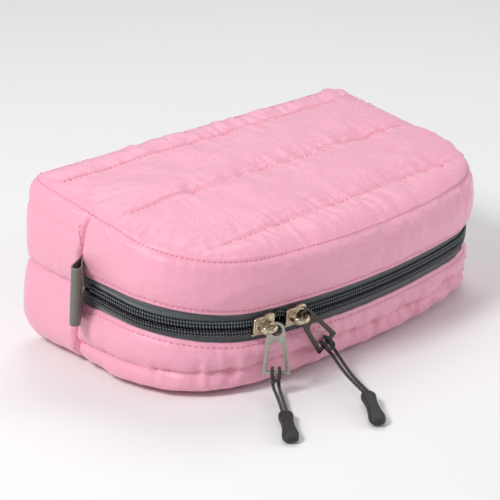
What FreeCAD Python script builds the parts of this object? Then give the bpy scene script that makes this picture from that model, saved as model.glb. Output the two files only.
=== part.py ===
import FreeCAD, Part
import math
import os
import Sketcher

# A soft clamshell pouch for cables: a D-shaped plan, a zip round the front and sides, and a back panel
# that wraps round both back corners and folds as the lid's hinge. +Z is up, +X is to the right and the
# front faces -Y. The origin is the middle of the bottom face. Walls, tapes and coils are prisms of one
# plan outline, drawn on the slightly tilted plane that the zip closes in. Millimetres and degrees.

V = FreeCAD.Vector
X_AXIS, Z_AXIS = V(1, 0, 0), V(0, 0, 1)

SIZES = [
    # alias, value, meaning
    ("half_width", 105, "half the pouch's width"),
    ("front_reach", 60, "axis to the middle of the front"),
    ("back_reach", 60, "axis to the back"),
    ("front_radius", 400, "radius of the gently bowed front"),
    ("corner_radius", 46, "radius of the two front corners"),
    ("back_radius", 10, "radius of the two back corners"),
    ("zip_height", 37.6, "height of the zip's plane at the axis"),
    ("zip_slope", 0.10, "rise of the zip's plane towards the back"),
    ("top_height", 72.5, "height of the lid's top at the axis"),
    ("top_slope", 0.181, "rise of the lid's top towards the back"),
    ("seam_foot", 19.5, "place of the side seam at the bottom"),
    ("seam_lean", 0.14, "forward lean of the side seam as it rises"),
    ("seam_gap", 0.1, "gap between the plies that meet at the side seam"),
    ("shell", 0.6, "outer nylon"),
    ("wadding", 3.0, "polyester wadding"),
    ("lining", 0.5, "inner nylon"),
    ("ply_gap", 0.05, "gap between plies"),
    ("split_gap", 0.3, "gap between the folding back's lower and upper part"),
    ("channel", 1.6, "channel between the two coils"),
    ("coil_width", 2.8, "one coil, across the zip"),
    ("coil_proud", 1.0, "how far the coils stand out of the outline"),
    ("coil_stop", 6.5, "side seam to the ends of the coils"),
    ("tape", 0.8, "zip tape's thickness"),
    ("tape_show_up", 3.6, "upper tape that shows"),
    ("tape_show_down", 5.0, "lower tape that shows"),
    ("tape_hem", 6.0, "tape under the folded edge of the shell"),
    ("binding", 0.8, "seam binding's thickness"),
    ("binding_width", 9.0, "seam binding's width"),
    ("mesh_inset", 13.0, "outline to the edge of the lid's mesh pocket"),
    ("mesh", 0.5, "mesh pocket's thickness"),
    ("mesh_front", 30.0, "axis to the mesh pocket's free edge"),
    ("mesh_hem", 9.0, "elastic hem of the mesh pocket"),
    ("mesh_hem_thick", 1.6, "thickness of that hem"),
    ("loop_width", 25.0, "elastic for the cable loops, front to back"),
    ("loop_elastic", 1.2, "thickness of that elastic"),
    ("loop_half_span", 20.0, "half the width of one cable loop"),
    ("loop_rise", 13.0, "height of one cable loop"),
    ("loop_foot", 8.0, "sewn-down stretch between two cable loops"),
    ("loop_back", 38.0, "axis to the back edge of the loops' elastic"),
    ("tab_height", 28.0, "ribbon loop at each end of the zip"),
    ("tab_foot_drop", 13.0, "zip's plane down to the ribbon loop's lower edge"),
    ("tab_reach", 10.5, "wall to the centre of the ribbon's fold"),
    ("tab_fold_radius", 2.6, "outside radius of the ribbon's fold"),
    ("tab_ribbon", 1.0, "ribbon's thickness"),
    ("tab_gap", 0.3, "ribbon loop to the wall"),
    ("tab_turn", 37.0, "ribbon loop's turn towards the front"),
    ("slider_length", 11.0, "slider along the zip"),
    ("slider_gap", 0.3, "slider's clearance round the coils and the tape"),
    ("slider_plate", 1.5, "slider's outer plate"),
    ("slider_inner_gap", 0.65, "slider's inner plate to the tape"),
    ("slider_inner_plate", 1.2, "slider's inner plate"),
    ("slider_flange", 0.9, "slider's lower flange"),
    ("slider_neck", 1.0, "slider's neck, across the zip"),
    ("slider_neck_length", 3.0, "slider's neck, along the zip"),
    ("crown_radius", 3.6, "middle radius of the crown's arch"),
    ("crown_leg", 2.3, "straight leg under the arch"),
    ("crown_wire", 1.6, "the arch, radially"),
    ("crown_width", 2.4, "the arch, across the zip"),
    ("spring_length", 5.0, "lock spring along the zip"),
    ("spring_width", 1.6, "lock spring across the zip"),
    ("spring", 0.3, "lock spring's thickness"),
    ("pull_thick", 1.0, "pull tab's thickness"),
    ("pull_eye_radius", 2.6, "hole in the pull tab's eye"),
    ("pull_eye_rim", 1.2, "rim of that eye"),
    ("pull_drop", 21.0, "eye's centre to the pull tab's lower edge"),
    ("pull_foot", 12.6, "pull tab's width at its lower edge"),
    ("pull_window_drop", 8.0, "eye's centre to the centre of the window's round top"),
    ("pull_window_radius", 2.7, "radius of the window's round top"),
    ("pull_window_foot", 8.0, "window's width at its lower edge"),
    ("pull_bar", 1.8, "bar under the window"),
    ("pull_hang", 0.9, "crown's middle to the eye's centre, as the tab hangs"),
    ("cord", 1.5, "pull cord's diameter"),
    ("grip_length", 25.0, "rubber grip on the cord"),
    ("grip_width", 6.6, "rubber grip's width at its shoulder"),
    ("grip_waist", 5.2, "rubber grip's width at its waist"),
    ("grip_tip", 7.2, "rubber grip's width at its tip"),
    ("grip_thick", 4.4, "rubber grip's thickness"),
]

doc = FreeCAD.newDocument("pouch")
sheet = doc.addObject("Spreadsheet::Sheet", "sizes")
for row, (alias, value, meaning) in enumerate(SIZES, start=1):
    sheet.set(f"A{row}", meaning)
    sheet.set(f"B{row}", str(value))
    sheet.setAlias(f"B{row}", alias)
doc.recompute()
size = {alias: float(value) for alias, value, _ in SIZES}
parts = []

# Where the plies lie, as depths from the outline, and the thickness of all three together.
SHELL_IN = "sizes.shell"
WADDING_OUT = "(sizes.shell + sizes.ply_gap)"
WADDING_IN = "(sizes.shell + sizes.ply_gap + sizes.wadding)"
LINING_OUT = "(sizes.shell + 2*sizes.ply_gap + sizes.wadding)"
WALL = "(sizes.shell + 2*sizes.ply_gap + sizes.wadding + sizes.lining)"
INSIDE = "(sizes.shell + 3*sizes.ply_gap + sizes.wadding + sizes.lining)"
ZIP_AT_AXIS = "sizes.zip_height*(1 + sizes.zip_slope^2)"
BEYOND = 60  # how far the side-view windows run past the pouch


def part(obj, label):
    """Names a finished sub-part, whose label is its file's name."""
    obj.Label = label
    parts.append(obj)
    return obj


def bind(obj, **expressions):
    for name, expression in expressions.items():
        obj.setExpression(name, expression)
    return obj


# ---------------------------------------------------------------- outline and prisms


def tilted(point=V(0, 0, 0), turn=0.0):
    """A placement on the zip's plane: point is given in that plane, turn is about its normal."""
    tilt = math.degrees(math.atan(size["zip_slope"]))
    base = V(0, -size["zip_slope"] * size["zip_height"], size["zip_height"])
    plane = FreeCAD.Placement(base, FreeCAD.Rotation(X_AXIS, tilt))
    return plane * FreeCAD.Placement(point, FreeCAD.Rotation(Z_AXIS, turn))


def corner_centre():
    """The centre of the right front corner's arc, in the zip's plane."""
    x = size["half_width"] - size["corner_radius"]
    reach = size["front_radius"] - size["corner_radius"]
    return V(x, size["front_radius"] - size["front_reach"] - math.sqrt(reach**2 - x**2), 0)


def plan_outline():
    """The D-shaped outline: straight back and sides, tight back corners, wide front corners, bowed front."""
    sketch = doc.addObject("Sketcher::SketchObject", "plan_outline")
    sketch.Placement = tilted()
    w, b, rb, rc = (size[k] for k in ("half_width", "back_reach", "back_radius", "corner_radius"))
    centre, deg = corner_centre(), math.radians
    bow = math.atan2(centre.x, size["front_radius"] - size["front_reach"] - centre.y)
    middle = V(0, size["front_radius"] - size["front_reach"], 0)

    def arc(at, radius, start, end):
        return Part.ArcOfCircle(Part.Circle(at, Z_AXIS, radius), start, end)

    sketch.addGeometry(
        [
            Part.LineSegment(V(w - rb, b, 0), V(rb - w, b, 0)),
            arc(V(rb - w, b - rb, 0), rb, deg(90), deg(180)),
            Part.LineSegment(V(-w, b - rb, 0), V(-w, centre.y, 0)),
            arc(V(-centre.x, centre.y, 0), rc, deg(180), deg(270) - bow),
            arc(middle, size["front_radius"], deg(270) - bow, deg(270) + bow),
            arc(centre, rc, deg(270) + bow, deg(360)),
            Part.LineSegment(V(w, centre.y, 0), V(w, b - rb, 0)),
            arc(V(w - rb, b - rb, 0), rb, 0, deg(90)),
        ]
    )
    ends = [(0, 2, 1, 1), (1, 2, 2, 1), (2, 2, 3, 1), (3, 2, 4, 1), (4, 2, 5, 1), (5, 2, 6, 1), (6, 2, 7, 1)]
    for first, end, second, start in ends + [(7, 2, 0, 1)]:
        sketch.addConstraint(Sketcher.Constraint("Tangent", first, end, second, start))
    sketch.addConstraint(Sketcher.Constraint("Horizontal", 0))
    sketch.addConstraint(Sketcher.Constraint("PointOnObject", 4, 3, -2))
    driven = [
        ("Radius", (1,), rb, "sizes.back_radius"),
        ("Radius", (7,), rb, "sizes.back_radius"),
        ("Radius", (3,), rc, "sizes.corner_radius"),
        ("Radius", (5,), rc, "sizes.corner_radius"),
        ("Radius", (4,), size["front_radius"], "sizes.front_radius"),
        ("DistanceX", (-1, 1, 6, 1), w, "sizes.half_width"),
        ("DistanceX", (2, 1, -1, 1), w, "sizes.half_width"),
        ("DistanceY", (-1, 1, 0, 1), b, "sizes.back_reach"),
        ("DistanceY", (-1, 1, 4, 3), middle.y, "sizes.front_radius - sizes.front_reach"),
    ]
    for kind, where, value, expression in driven:
        index = sketch.addConstraint(Sketcher.Constraint(kind, *where, value))
        sketch.renameConstraint(index, f"size_{index}")
        sketch.setExpression(f"Constraints.size_{index}", expression)
    return sketch


OUTLINE = plan_outline()
prisms = {}
rings = {}


def extrusion(base, name, forward, backward):
    obj = doc.addObject("Part::Extrusion", name)
    obj.Base = base
    obj.DirMode = "Normal"
    obj.Solid = True
    return bind(obj, LengthFwd=forward, LengthRev=backward)


def prism(depth):
    """Everything inside the outline drawn in by depth, far above and below the pouch."""
    if depth not in prisms:
        inner = doc.addObject("Part::Offset2D", f"outline_{len(prisms)}")
        inner.Source = OUTLINE
        inner.Join = "Arc"
        bind(inner, Value=f"-({depth})")
        base = OUTLINE if depth == "0" else inner
        reach = f"sizes.top_height + {BEYOND}"
        prisms[depth] = extrusion(base, f"prism_{len(prisms)}", reach, reach)
    return prisms[depth]


def ring(outer, inner):
    """The wall between two depths."""
    if (outer, inner) not in rings:
        obj = doc.addObject("Part::Cut", f"ring_{len(rings)}")
        obj.Base, obj.Tool = prism(outer), prism(inner)
        rings[outer, inner] = obj
    return rings[outer, inner]


# ---------------------------------------------------------------- side-view windows


def near_zip(above):
    """A line in side view, parallel to the zip's plane: its height at the axis, and its slope."""
    return f"({ZIP_AT_AXIS} + ({above}))", "sizes.zip_slope"


def near_top(below):
    return f"(sizes.top_height - ({below}))", "sizes.top_slope"


def near_floor(above):
    return f"({above})", "0"


def across(line, y):
    height, slope = line
    return y, f"{height} + {slope}*({y})"


def at_seam(line, shift):
    """Where such a line crosses the leaning side seam, moved back by shift."""
    height, slope = line
    y = f"((sizes.seam_foot + ({shift}) - sizes.seam_lean*{height}) / (1 + sizes.seam_lean*{slope}))"
    return across(line, y)


FRONT = f"-(sizes.front_reach + {BEYOND})"
BACK = f"(sizes.back_reach + {BEYOND})"


def window(name, corners):
    """A bar across the pouch, whose side view is the four corners' polygon of (y, z) expressions."""
    sketch = doc.addObject("Sketcher::SketchObject", name + "_side_view")
    sketch.Placement = FreeCAD.Placement(V(0, 0, 0), FreeCAD.Rotation(V(1, 1, 1), 120))
    reach = size["front_reach"]
    start = [(-reach, 1), (reach, 1), (reach, reach), (-reach, reach)]
    for k, (y, z) in enumerate(start):
        sketch.addGeometry(Part.LineSegment(V(y, z, 0), V(*start[(k + 1) % 4], 0)))
    for k in range(4):
        sketch.addConstraint(Sketcher.Constraint("Coincident", k, 2, (k + 1) % 4, 1))
    for k, corner in enumerate(corners):
        for kind, value, expression in zip(("DistanceX", "DistanceY"), start[k], corner):
            index = sketch.addConstraint(Sketcher.Constraint(kind, -1, 1, k, 1, value))
            sketch.renameConstraint(index, f"{kind}_{k}")
            sketch.setExpression(f"Constraints.{kind}_{k}", expression)
    half = f"sizes.half_width + {BEYOND}"
    return extrusion(sketch, name + "_window", half, half)


def cut_out(label, solid, low, high, side="all", gap="sizes.seam_gap/2"):
    """A sub-part: what a side-view window shows of a prism or ring."""
    if side == "front":
        corners = [across(low, FRONT), at_seam(low, f"-{gap}"), at_seam(high, f"-{gap}"), across(high, FRONT)]
    elif side == "back":
        corners = [at_seam(low, gap), across(low, BACK), across(high, BACK), at_seam(high, gap)]
    else:
        corners = [across(low, FRONT), across(low, BACK), across(high, BACK), across(high, FRONT)]
    obj = doc.addObject("Part::Common", label)
    obj.Base, obj.Tool = solid, window(label, corners)
    return part(obj, label)


# ---------------------------------------------------------------- the padded panels and the zip

PLIES = {"shell": ("0", SHELL_IN), "wadding": (WADDING_OUT, WADDING_IN), "lining": (LINING_OUT, WALL)}
COIL_EDGE = "(sizes.channel/2 + sizes.coil_width)"
FOLD_UP = f"({COIL_EDGE} + sizes.tape_show_up)"
FOLD_DOWN = f"({COIL_EDGE} + sizes.tape_show_down)"


def panels():
    """The flat top and bottom, each of three plies."""
    for ply, (out, inner) in PLIES.items():
        solid = prism("0") if ply == "shell" else prism(WADDING_OUT)
        cut_out(f"top_panel_{ply}", solid, near_top(inner), near_top(out))
        cut_out(f"bottom_panel_{ply}", solid, near_floor(out), near_floor(inner))


def walls():
    """The gussets above and below the zip, and the back that wraps round both back corners."""
    for ply, (out, inner) in PLIES.items():
        wall = ring(out, inner)
        end = f"({WADDING_OUT})" if ply == "shell" else INSIDE
        hem = "0" if ply == "shell" else "(sizes.tape_hem + sizes.ply_gap)"
        floor, top = near_floor(end), near_top(end)
        cut_out(f"upper_gusset_{ply}", wall, near_zip(f"{FOLD_UP} + {hem}"), top, "front")
        cut_out(f"lower_gusset_{ply}", wall, floor, near_zip(f"-{FOLD_DOWN} - {hem}"), "front")
        cut_out(f"back_upper_{ply}", wall, near_zip("sizes.split_gap/2"), top, "back")
        cut_out(f"back_lower_{ply}", wall, floor, near_zip("-sizes.split_gap/2"), "back")


def zip_fastener():
    """Each tape carries one coil on its outer face; the sliders' necks run in the channel between them."""
    tape = ring(WADDING_OUT, f"({WADDING_OUT} + sizes.tape)")
    coil = ring("(-sizes.coil_proud)", SHELL_IN)
    edge = "sizes.channel/2"
    cut_out("zip_tape_upper", tape, near_zip(edge), near_zip(f"{FOLD_UP} + sizes.tape_hem"), "front")
    cut_out("zip_tape_lower", tape, near_zip(f"-{FOLD_DOWN} - sizes.tape_hem"), near_zip(f"-{edge}"), "front")
    cut_out("zip_coil_upper", coil, near_zip(edge), near_zip(COIL_EDGE), "front", "sizes.coil_stop")
    cut_out("zip_coil_lower", coil, near_zip(f"-{COIL_EDGE}"), near_zip(f"-{edge}"), "front", "sizes.coil_stop")


def bindings():
    """Tape over the raw seams, inside the top and bottom edges."""
    solid = ring(INSIDE, f"({INSIDE} + sizes.binding)")
    width = "sizes.binding_width"
    cut_out("top_seam_binding", solid, near_top(f"{INSIDE} + {width}"), near_top(INSIDE))
    cut_out("bottom_seam_binding", solid, near_floor(INSIDE), near_floor(f"{INSIDE} + {width}"))


def mesh_pocket():
    """A flat mesh pocket sewn to the lid's lining, with an elastic hem along its free front edge."""
    solid = prism("sizes.mesh_inset")
    high = near_top(INSIDE)
    hem_back = "-sizes.mesh_front + sizes.mesh_hem"
    for label, thick, front, back in (
        ("lid_mesh_pocket", "sizes.mesh", f"{hem_back} + sizes.ply_gap", "(sizes.back_reach - 3*sizes.back_radius)"),
        ("mesh_pocket_hem", "sizes.mesh_hem_thick", "-sizes.mesh_front", hem_back),
    ):
        low = near_top(f"{INSIDE} + {thick}")
        corners = [across(low, front), across(low, back), across(high, back), across(high, front)]
        obj = doc.addObject("Part::Common", label)
        obj.Base, obj.Tool = solid, window(label, corners)
        part(obj, label)


# ---------------------------------------------------------------- small solids


def box(name, corner, sides):
    """A box bound to expressions for its lowest corner and its sides."""
    obj = doc.addObject("Part::Box", name)
    x, y, z = corner
    length, width, height = sides
    bind(obj, Length=length, Width=width, Height=height)
    obj.setExpression("Placement.Base.x", x)
    obj.setExpression("Placement.Base.y", y)
    obj.setExpression("Placement.Base.z", z)
    return obj


def cylinder(name, radius, height, base, axis):
    obj = doc.addObject("Part::Cylinder", name)
    obj.Placement.Rotation = FreeCAD.Rotation(Z_AXIS, axis)
    for letter, expression in zip("xyz", base):
        obj.setExpression(f"Placement.Base.{letter}", expression)
    return bind(obj, Radius=radius, Height=height)


def fused(name, shapes):
    obj = doc.addObject("Part::MultiFuse", name)
    obj.Shapes = shapes
    return obj


def cut(name, base, tool):
    obj = doc.addObject("Part::Cut", name)
    obj.Base, obj.Tool = base, tool
    return obj


def placed(obj, label, placement):
    obj.Placement = placement
    return part(obj, label)


def cable_loops():
    """One strip of elastic sewn down between three loops that hold rolled cables."""
    span, rise = "sizes.loop_half_span", "sizes.loop_rise"
    radius = f"(({span}^2 + {rise}^2) / (2*{rise}))"
    pitch = f"(2*{span} + sizes.loop_foot)"
    near, floor = "sizes.loop_back - sizes.loop_width", INSIDE
    solids = []
    for k in (-1, 0, 1):
        centre = (f"{k}*{pitch}", "sizes.loop_back", f"{floor} + {rise} - {radius}")
        outer = cylinder(f"loop_outer_{k + 1}", radius, "sizes.loop_width", centre, V(0, -1, 0))
        inner = cylinder(f"loop_inner_{k + 1}", f"{radius} - sizes.loop_elastic", "sizes.loop_width", centre, V(0, -1, 0))
        above = box(f"loop_above_{k + 1}", (f"{k}*{pitch} - 2*{span}", near, floor), (f"4*{span}", "sizes.loop_width", f"2*{rise}"))
        arch = doc.addObject("Part::Common", f"loop_arch_{k + 1}")
        arch.Base, arch.Tool = cut(f"loop_tube_{k + 1}", outer, inner), above
        solids.append(arch)
    for k in range(4):
        left = f"({k} - 2)*{pitch} + {span} - sizes.loop_elastic"
        sides = ("sizes.loop_foot + 2*sizes.loop_elastic", "sizes.loop_width", "sizes.loop_elastic")
        solids.append(box(f"loop_foot_{k}", (left, near, floor), sides))
    part(fused("cable_loops", solids), "elastic_cable_loops")


def zip_end_tab(side, mirror):
    """A folded ribbon loop on the side seam, where the zip ends; it leans out and towards the front."""
    reach, fold, ribbon = "sizes.tab_reach", "sizes.tab_fold_radius", "sizes.tab_ribbon"
    height, drop = "sizes.tab_height", "-sizes.tab_foot_drop"
    name = f"tab_{side}"
    round_end = cylinder(f"{name}_fold", fold, height, (reach, "0", drop), Z_AXIS)
    legs = doc.addObject("Part::Wedge", f"{name}_legs")
    bind(legs, Xmin=f"-{ribbon} - 0.1", Xmax=f"{ribbon} + 0.1", X2min=f"-{fold}", X2max=fold)
    bind(legs, Ymin="0", Ymax=reach, Zmin=drop, Zmax=f"{height} + {drop}", Z2min=drop, Z2max=f"{height} + {drop}")
    legs.Placement.Rotation = FreeCAD.Rotation(Z_AXIS, -90)
    hollow_end = cylinder(f"{name}_hollow", f"{fold} - {ribbon}", height, (reach, "0", drop), Z_AXIS)
    hollow = doc.addObject("Part::Wedge", f"{name}_between")
    bind(hollow, Xmin="-0.1", Xmax="0.1", X2min=f"{ribbon} - {fold}", X2max=f"{fold} - {ribbon}")
    bind(hollow, Ymin="0", Ymax=reach, Zmin=drop, Zmax=f"{height} + {drop}", Z2min=drop, Z2max=f"{height} + {drop}")
    hollow.Placement.Rotation = FreeCAD.Rotation(Z_AXIS, -90)
    loop = cut(f"{name}_loop", fused(f"{name}_solid", [round_end, legs]), fused(f"{name}_inside", [hollow_end, hollow]))
    at = V(mirror * (size["half_width"] + size["tab_gap"] + size["tab_ribbon"]), seam_at_zip(), 0)
    turn = -size["tab_turn"] if mirror > 0 else 180 + size["tab_turn"]
    placed(loop, f"zip_end_tab_{side}", tilted(at, turn))


def seam_at_zip():
    """The side seam's place in the zip's plane."""
    slope, lean = size["zip_slope"], size["seam_lean"]
    height = size["zip_height"] * (1 + slope**2)
    y = (size["seam_foot"] - lean * height) / (1 + lean * slope)
    return (y + slope * size["zip_height"]) * math.sqrt(1 + slope**2)


# ---------------------------------------------------------------- sliders, pull tabs and pull cords

# The left slider waits where the bowed front meets the left corner, and the right one further along.
# A slider's own frame has X along the zip, -Y outwards and Z across it.
RIGHT_SLIDER_TURN = -7.1  # the right slider's place on the bowed front, about that arc's centre
COIL_FACE = "(sizes.coil_proud + sizes.slider_gap)"
PLATE_FACE = f"({COIL_FACE} + sizes.slider_plate)"
TAPE_BACK = "(sizes.shell + sizes.ply_gap + sizes.tape)"
SLIDER_HEIGHT = f"(2*({COIL_EDGE} + sizes.slider_gap + sizes.slider_flange))"


def front_placement(turn):
    """On the bowed front, turned about its arc's centre: turn is negative towards the left."""
    angle = math.radians(turn)
    centre = size["front_radius"] - size["front_reach"]
    point = V(size["front_radius"] * math.sin(angle), centre - size["front_radius"] * math.cos(angle), 0)
    return tilted(point, turn)


def left_slider_turn():
    centre = corner_centre()
    return -math.degrees(math.asin(centre.x / (size["front_radius"] - size["corner_radius"])))


def slider(side, placement):
    """A body of two plates and a neck, the crown that carries the pull tab, and the lock spring under it."""
    half, tall = "sizes.slider_length/2", SLIDER_HEIGHT
    low = f"-{tall}/2"
    name = f"slider_{side}"
    inner_face = f"({TAPE_BACK} + sizes.slider_inner_gap)"
    flange_end = f"({WADDING_OUT} - sizes.slider_gap)"
    plate = box(f"{name}_plate", (f"-{half}", f"-{PLATE_FACE}", low), (f"2*{half}", "sizes.slider_plate", tall))
    inner = box(f"{name}_inner", (f"-{half}", inner_face, low), (f"2*{half}", "sizes.slider_inner_plate", tall))
    neck_height = "sizes.slider_neck"
    neck = box(
        f"{name}_neck",
        (f"{half} - sizes.slider_neck_length", f"-{PLATE_FACE} + sizes.slider_plate/2", f"-{neck_height}/2"),
        ("sizes.slider_neck_length", f"{PLATE_FACE} + {inner_face}", neck_height),
    )
    flange = box(
        f"{name}_flange",
        (f"-{half}", f"-{COIL_FACE} - sizes.slider_plate/2", low),
        (f"2*{half}", f"{COIL_FACE} + sizes.slider_plate/2 + {flange_end}", "sizes.slider_flange"),
    )
    placed(fused(name, [plate, inner, neck, flange]), f"slider_body_{side}", placement)

    outer, inside = "(sizes.crown_radius + sizes.crown_wire/2)", "(sizes.crown_radius - sizes.crown_wire/2)"
    width, leg = "sizes.crown_width", "sizes.crown_leg"
    centre = ("0", f"-{PLATE_FACE} - {leg}", f"-{width}/2")
    dome = cylinder(f"{name}_crown_dome", outer, width, centre, Z_AXIS)
    hole = cylinder(f"{name}_crown_hole", inside, width, centre, Z_AXIS)
    legs = box(f"{name}_legs", (f"-{outer}", f"-{PLATE_FACE} - {leg}", f"-{width}/2"), (f"2*{outer}", leg, width))
    under = "sizes.crown_radius*2"
    between = box(f"{name}_between", (f"-{inside}", f"-{PLATE_FACE} - {leg}", f"-{width}/2"), (f"2*{inside}", under, width))
    behind = box(f"{name}_behind", (f"-2*{outer}", f"-{PLATE_FACE}", f"-{width}"), (f"4*{outer}", under, f"2*{width}"))
    arch = cut(f"{name}_arch", fused(f"{name}_arch_solid", [dome, legs]), fused(f"{name}_arch_hollow", [hole, between, behind]))
    placed(arch, f"slider_crown_{side}", placement)

    spring = box(
        f"{name}_spring",
        ("-sizes.spring_length/2", f"-{PLATE_FACE} - sizes.spring", "-sizes.spring_width/2"),
        ("sizes.spring_length", "sizes.spring", "sizes.spring_width"),
    )
    holder = fused(f"{name}_spring_solid", [spring, spring_prong(name)])
    placed(holder, f"lock_spring_{side}", placement)


def spring_prong(name):
    """The bent-up end of the lock spring, under the crown's arch."""
    at = ("-sizes.spring_length/2", f"-{PLATE_FACE} - 3*sizes.spring", "-sizes.spring_width/2")
    return box(f"{name}_prong", at, ("sizes.spring", "3*sizes.spring", "sizes.spring_width"))


def pull_tab(side, placement):
    """An A-shaped plate with a round eye above a window; its lower bar takes the cord."""
    thick, eye, rim = "sizes.pull_thick", "sizes.pull_eye_radius", "(sizes.pull_eye_radius + sizes.pull_eye_rim)"
    hang, foot = "sizes.pull_hang", "sizes.pull_foot"
    name = f"pull_{side}"
    front = f"{thick}/2"
    disc = cylinder(f"{name}_eye_disc", rim, thick, ("0", front, f"-{hang}"), V(0, -1, 0))
    hole = cylinder(f"{name}_eye_hole", eye, f"2*{thick}", ("0", thick, f"-{hang}"), V(0, -1, 0))
    top = cylinder(
        f"{name}_window_top", "sizes.pull_window_radius", f"2*{thick}", ("0", thick, f"-{hang} - sizes.pull_window_drop"), V(0, -1, 0)
    )
    flip = FreeCAD.Rotation(X_AXIS, 90)  # turns a wedge's own Y up and its Z to the front
    blade = doc.addObject("Part::Wedge", f"{name}_blade")
    bind(blade, Xmin=f"-{foot}/2", Xmax=f"{foot}/2", X2min=f"-{rim}", X2max=rim)
    bind(blade, Ymin=f"-{hang} - sizes.pull_drop", Ymax=f"-{hang}", Zmin=f"-{thick}/2", Zmax=front, Z2min=f"-{thick}/2", Z2max=front)
    blade.Placement.Rotation = flip
    wide = "sizes.pull_window_foot"
    opening = doc.addObject("Part::Wedge", f"{name}_window")
    bind(opening, Xmin=f"-{wide}/2", Xmax=f"{wide}/2", X2min="-sizes.pull_window_radius", X2max="sizes.pull_window_radius")
    bind(opening, Ymin=f"-{hang} - sizes.pull_drop + sizes.pull_bar", Ymax=f"-{hang} - sizes.pull_window_drop")
    bind(opening, Zmin=f"-{thick}", Zmax=thick, Z2min=f"-{thick}", Z2max=thick)
    opening.Placement.Rotation = flip
    solid = fused(f"{name}_solid", [disc, blade])
    openings = fused(f"{name}_openings", [hole, top, opening])
    placed(cut(name, solid, openings), f"pull_tab_{side}", placement)


def crown_point(placement, x, out):
    """A point on a slider's crown: x along the zip, out from the plate's face."""
    plate = size["coil_proud"] + size["slider_gap"] + size["slider_plate"]
    return placement.multVec(V(x, -plate - out, 0))


# Each pull tab hangs straight down or swings a little; its own frame has X across it, -Y to its front
# and Z up. The left one hangs on the crown's shoulder, the right one on the crown's right leg.
LEFT_PULL_TURN = -45.7  # about Z, so that its front faces forwards and to the left
RIGHT_PULL_TURN = -7.1
RIGHT_PULL_SWING = -38.0  # about its front, so that it points down and to the right
RIGHT_PULL_OUT = 1.3  # the right tab's middle from the slider's plate
SHOULDER_ANGLE = 36.0  # of the left tab's place on the crown's arch


def pull_placements():
    shoulder = math.radians(SHOULDER_ANGLE)
    radius, leg = size["crown_radius"], size["crown_leg"]
    left = front_placement(left_slider_turn())
    at = crown_point(left, radius * math.cos(shoulder), leg + radius * math.sin(shoulder))
    left_pull = FreeCAD.Placement(at, FreeCAD.Rotation(Z_AXIS, LEFT_PULL_TURN))
    right = front_placement(RIGHT_SLIDER_TURN)
    at = crown_point(right, radius, RIGHT_PULL_OUT)
    swing = FreeCAD.Rotation(Z_AXIS, RIGHT_PULL_TURN) * FreeCAD.Rotation(V(0, 1, 0), RIGHT_PULL_SWING)
    return {"left": left_pull, "right": FreeCAD.Placement(at, swing)}


# The hitch round a pull tab's lower bar, in the tab's frame with the bar's middle as origin: up behind
# the bar, over it, down its front and across below it. The other half mirrors this one.
HITCH = [(-1.2, 0.6, -7.0), (-1.5, 2.0, -2.4), (-1.5, 2.1, 2.0), (-1.6, -2.0, 2.1), (-1.7, -2.1, -2.9)]
# From the hitch down to the floor and along it to the rubber grip: the two strands of each cord.
STRANDS = {
    "left": [
        [(-69.6, -70.6, 2.7), (-74.3, -76.9, 2.4), (-79.1, -82.8, 2.3)],
        [(-68.0, -72.0, 2.7), (-72.8, -78.1, 2.4), (-77.6, -84.0, 2.3)],
    ],
    "right": [
        [(-33.2, -73.6, 6.4), (-36.8, -81.6, 5.0), (-40.2, -89.6, 4.5), (-43.6, -97.5, 4.3)],
        [(-31.4, -74.6, 7.0), (-35.1, -82.7, 5.1), (-38.6, -90.8, 4.5), (-42.1, -98.7, 4.3)],
    ],
}


def route(side, placement):
    """The cord's points: one strand, the hitch and the other strand."""
    bar = V(0, 0, -size["pull_hang"] - size["pull_drop"] + size["pull_bar"] / 2)
    half = [placement.multVec(V(*p) + bar) for p in HITCH]
    back = [placement.multVec(V(-x, y, z) + bar) for x, y, z in reversed(HITCH)]
    first, second = ([V(*p) for p in strand] for strand in STRANDS[side])
    return list(reversed(first)) + half + back + second


def cord_path(points):
    """Straight runs joined by tangent arcs, each arc as large as its two runs allow."""
    edges, start, radii = [], points[0], []
    for before, here, after in zip(points, points[1:], points[2:]):
        one, two = before - here, after - here
        shorter = min(one.Length, two.Length)
        one.normalize()
        two.normalize()
        turn = math.pi - one.getAngle(two)
        trim = 0.45 * shorter
        radii.append(trim / math.tan(turn / 2))
        middle = one + two
        middle.normalize()
        far = radii[-1] / math.cos(turn / 2) - radii[-1]
        first, last = here + one * trim, here + two * trim
        edges.append(Part.LineSegment(start, first).toShape())
        edges.append(Part.Arc(first, here + middle * far, last).toShape())
        start = last
    edges.append(Part.LineSegment(start, points[-1]).toShape())
    return Part.Wire(edges), radii


def pull_cord(side, placement):
    points = route(side, placement)
    wire, radii = cord_path(points)
    circle = Part.Circle(points[0], points[1] - points[0], size["cord"] / 2)
    tube = wire.makePipeShell([Part.Wire([circle.toShape()])], True, True)
    expected = math.pi * size["cord"] ** 2 / 4 * wire.Length
    print(f"cord {side}: {wire.Length:.1f} mm, volume {tube.Volume:.1f} of {expected:.1f},", end=" ")
    print("radii", [round(r, 1) for r in radii])
    if not tube.isValid() or abs(tube.Volume - expected) > 0.02 * expected:
        raise RuntimeError(f"the {side} cord's tube is wrong")
    feature = doc.addObject("Part::Feature", f"cord_{side}")
    feature.Shape = tube
    part(feature, f"pull_cord_{side}")
    return points


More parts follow.
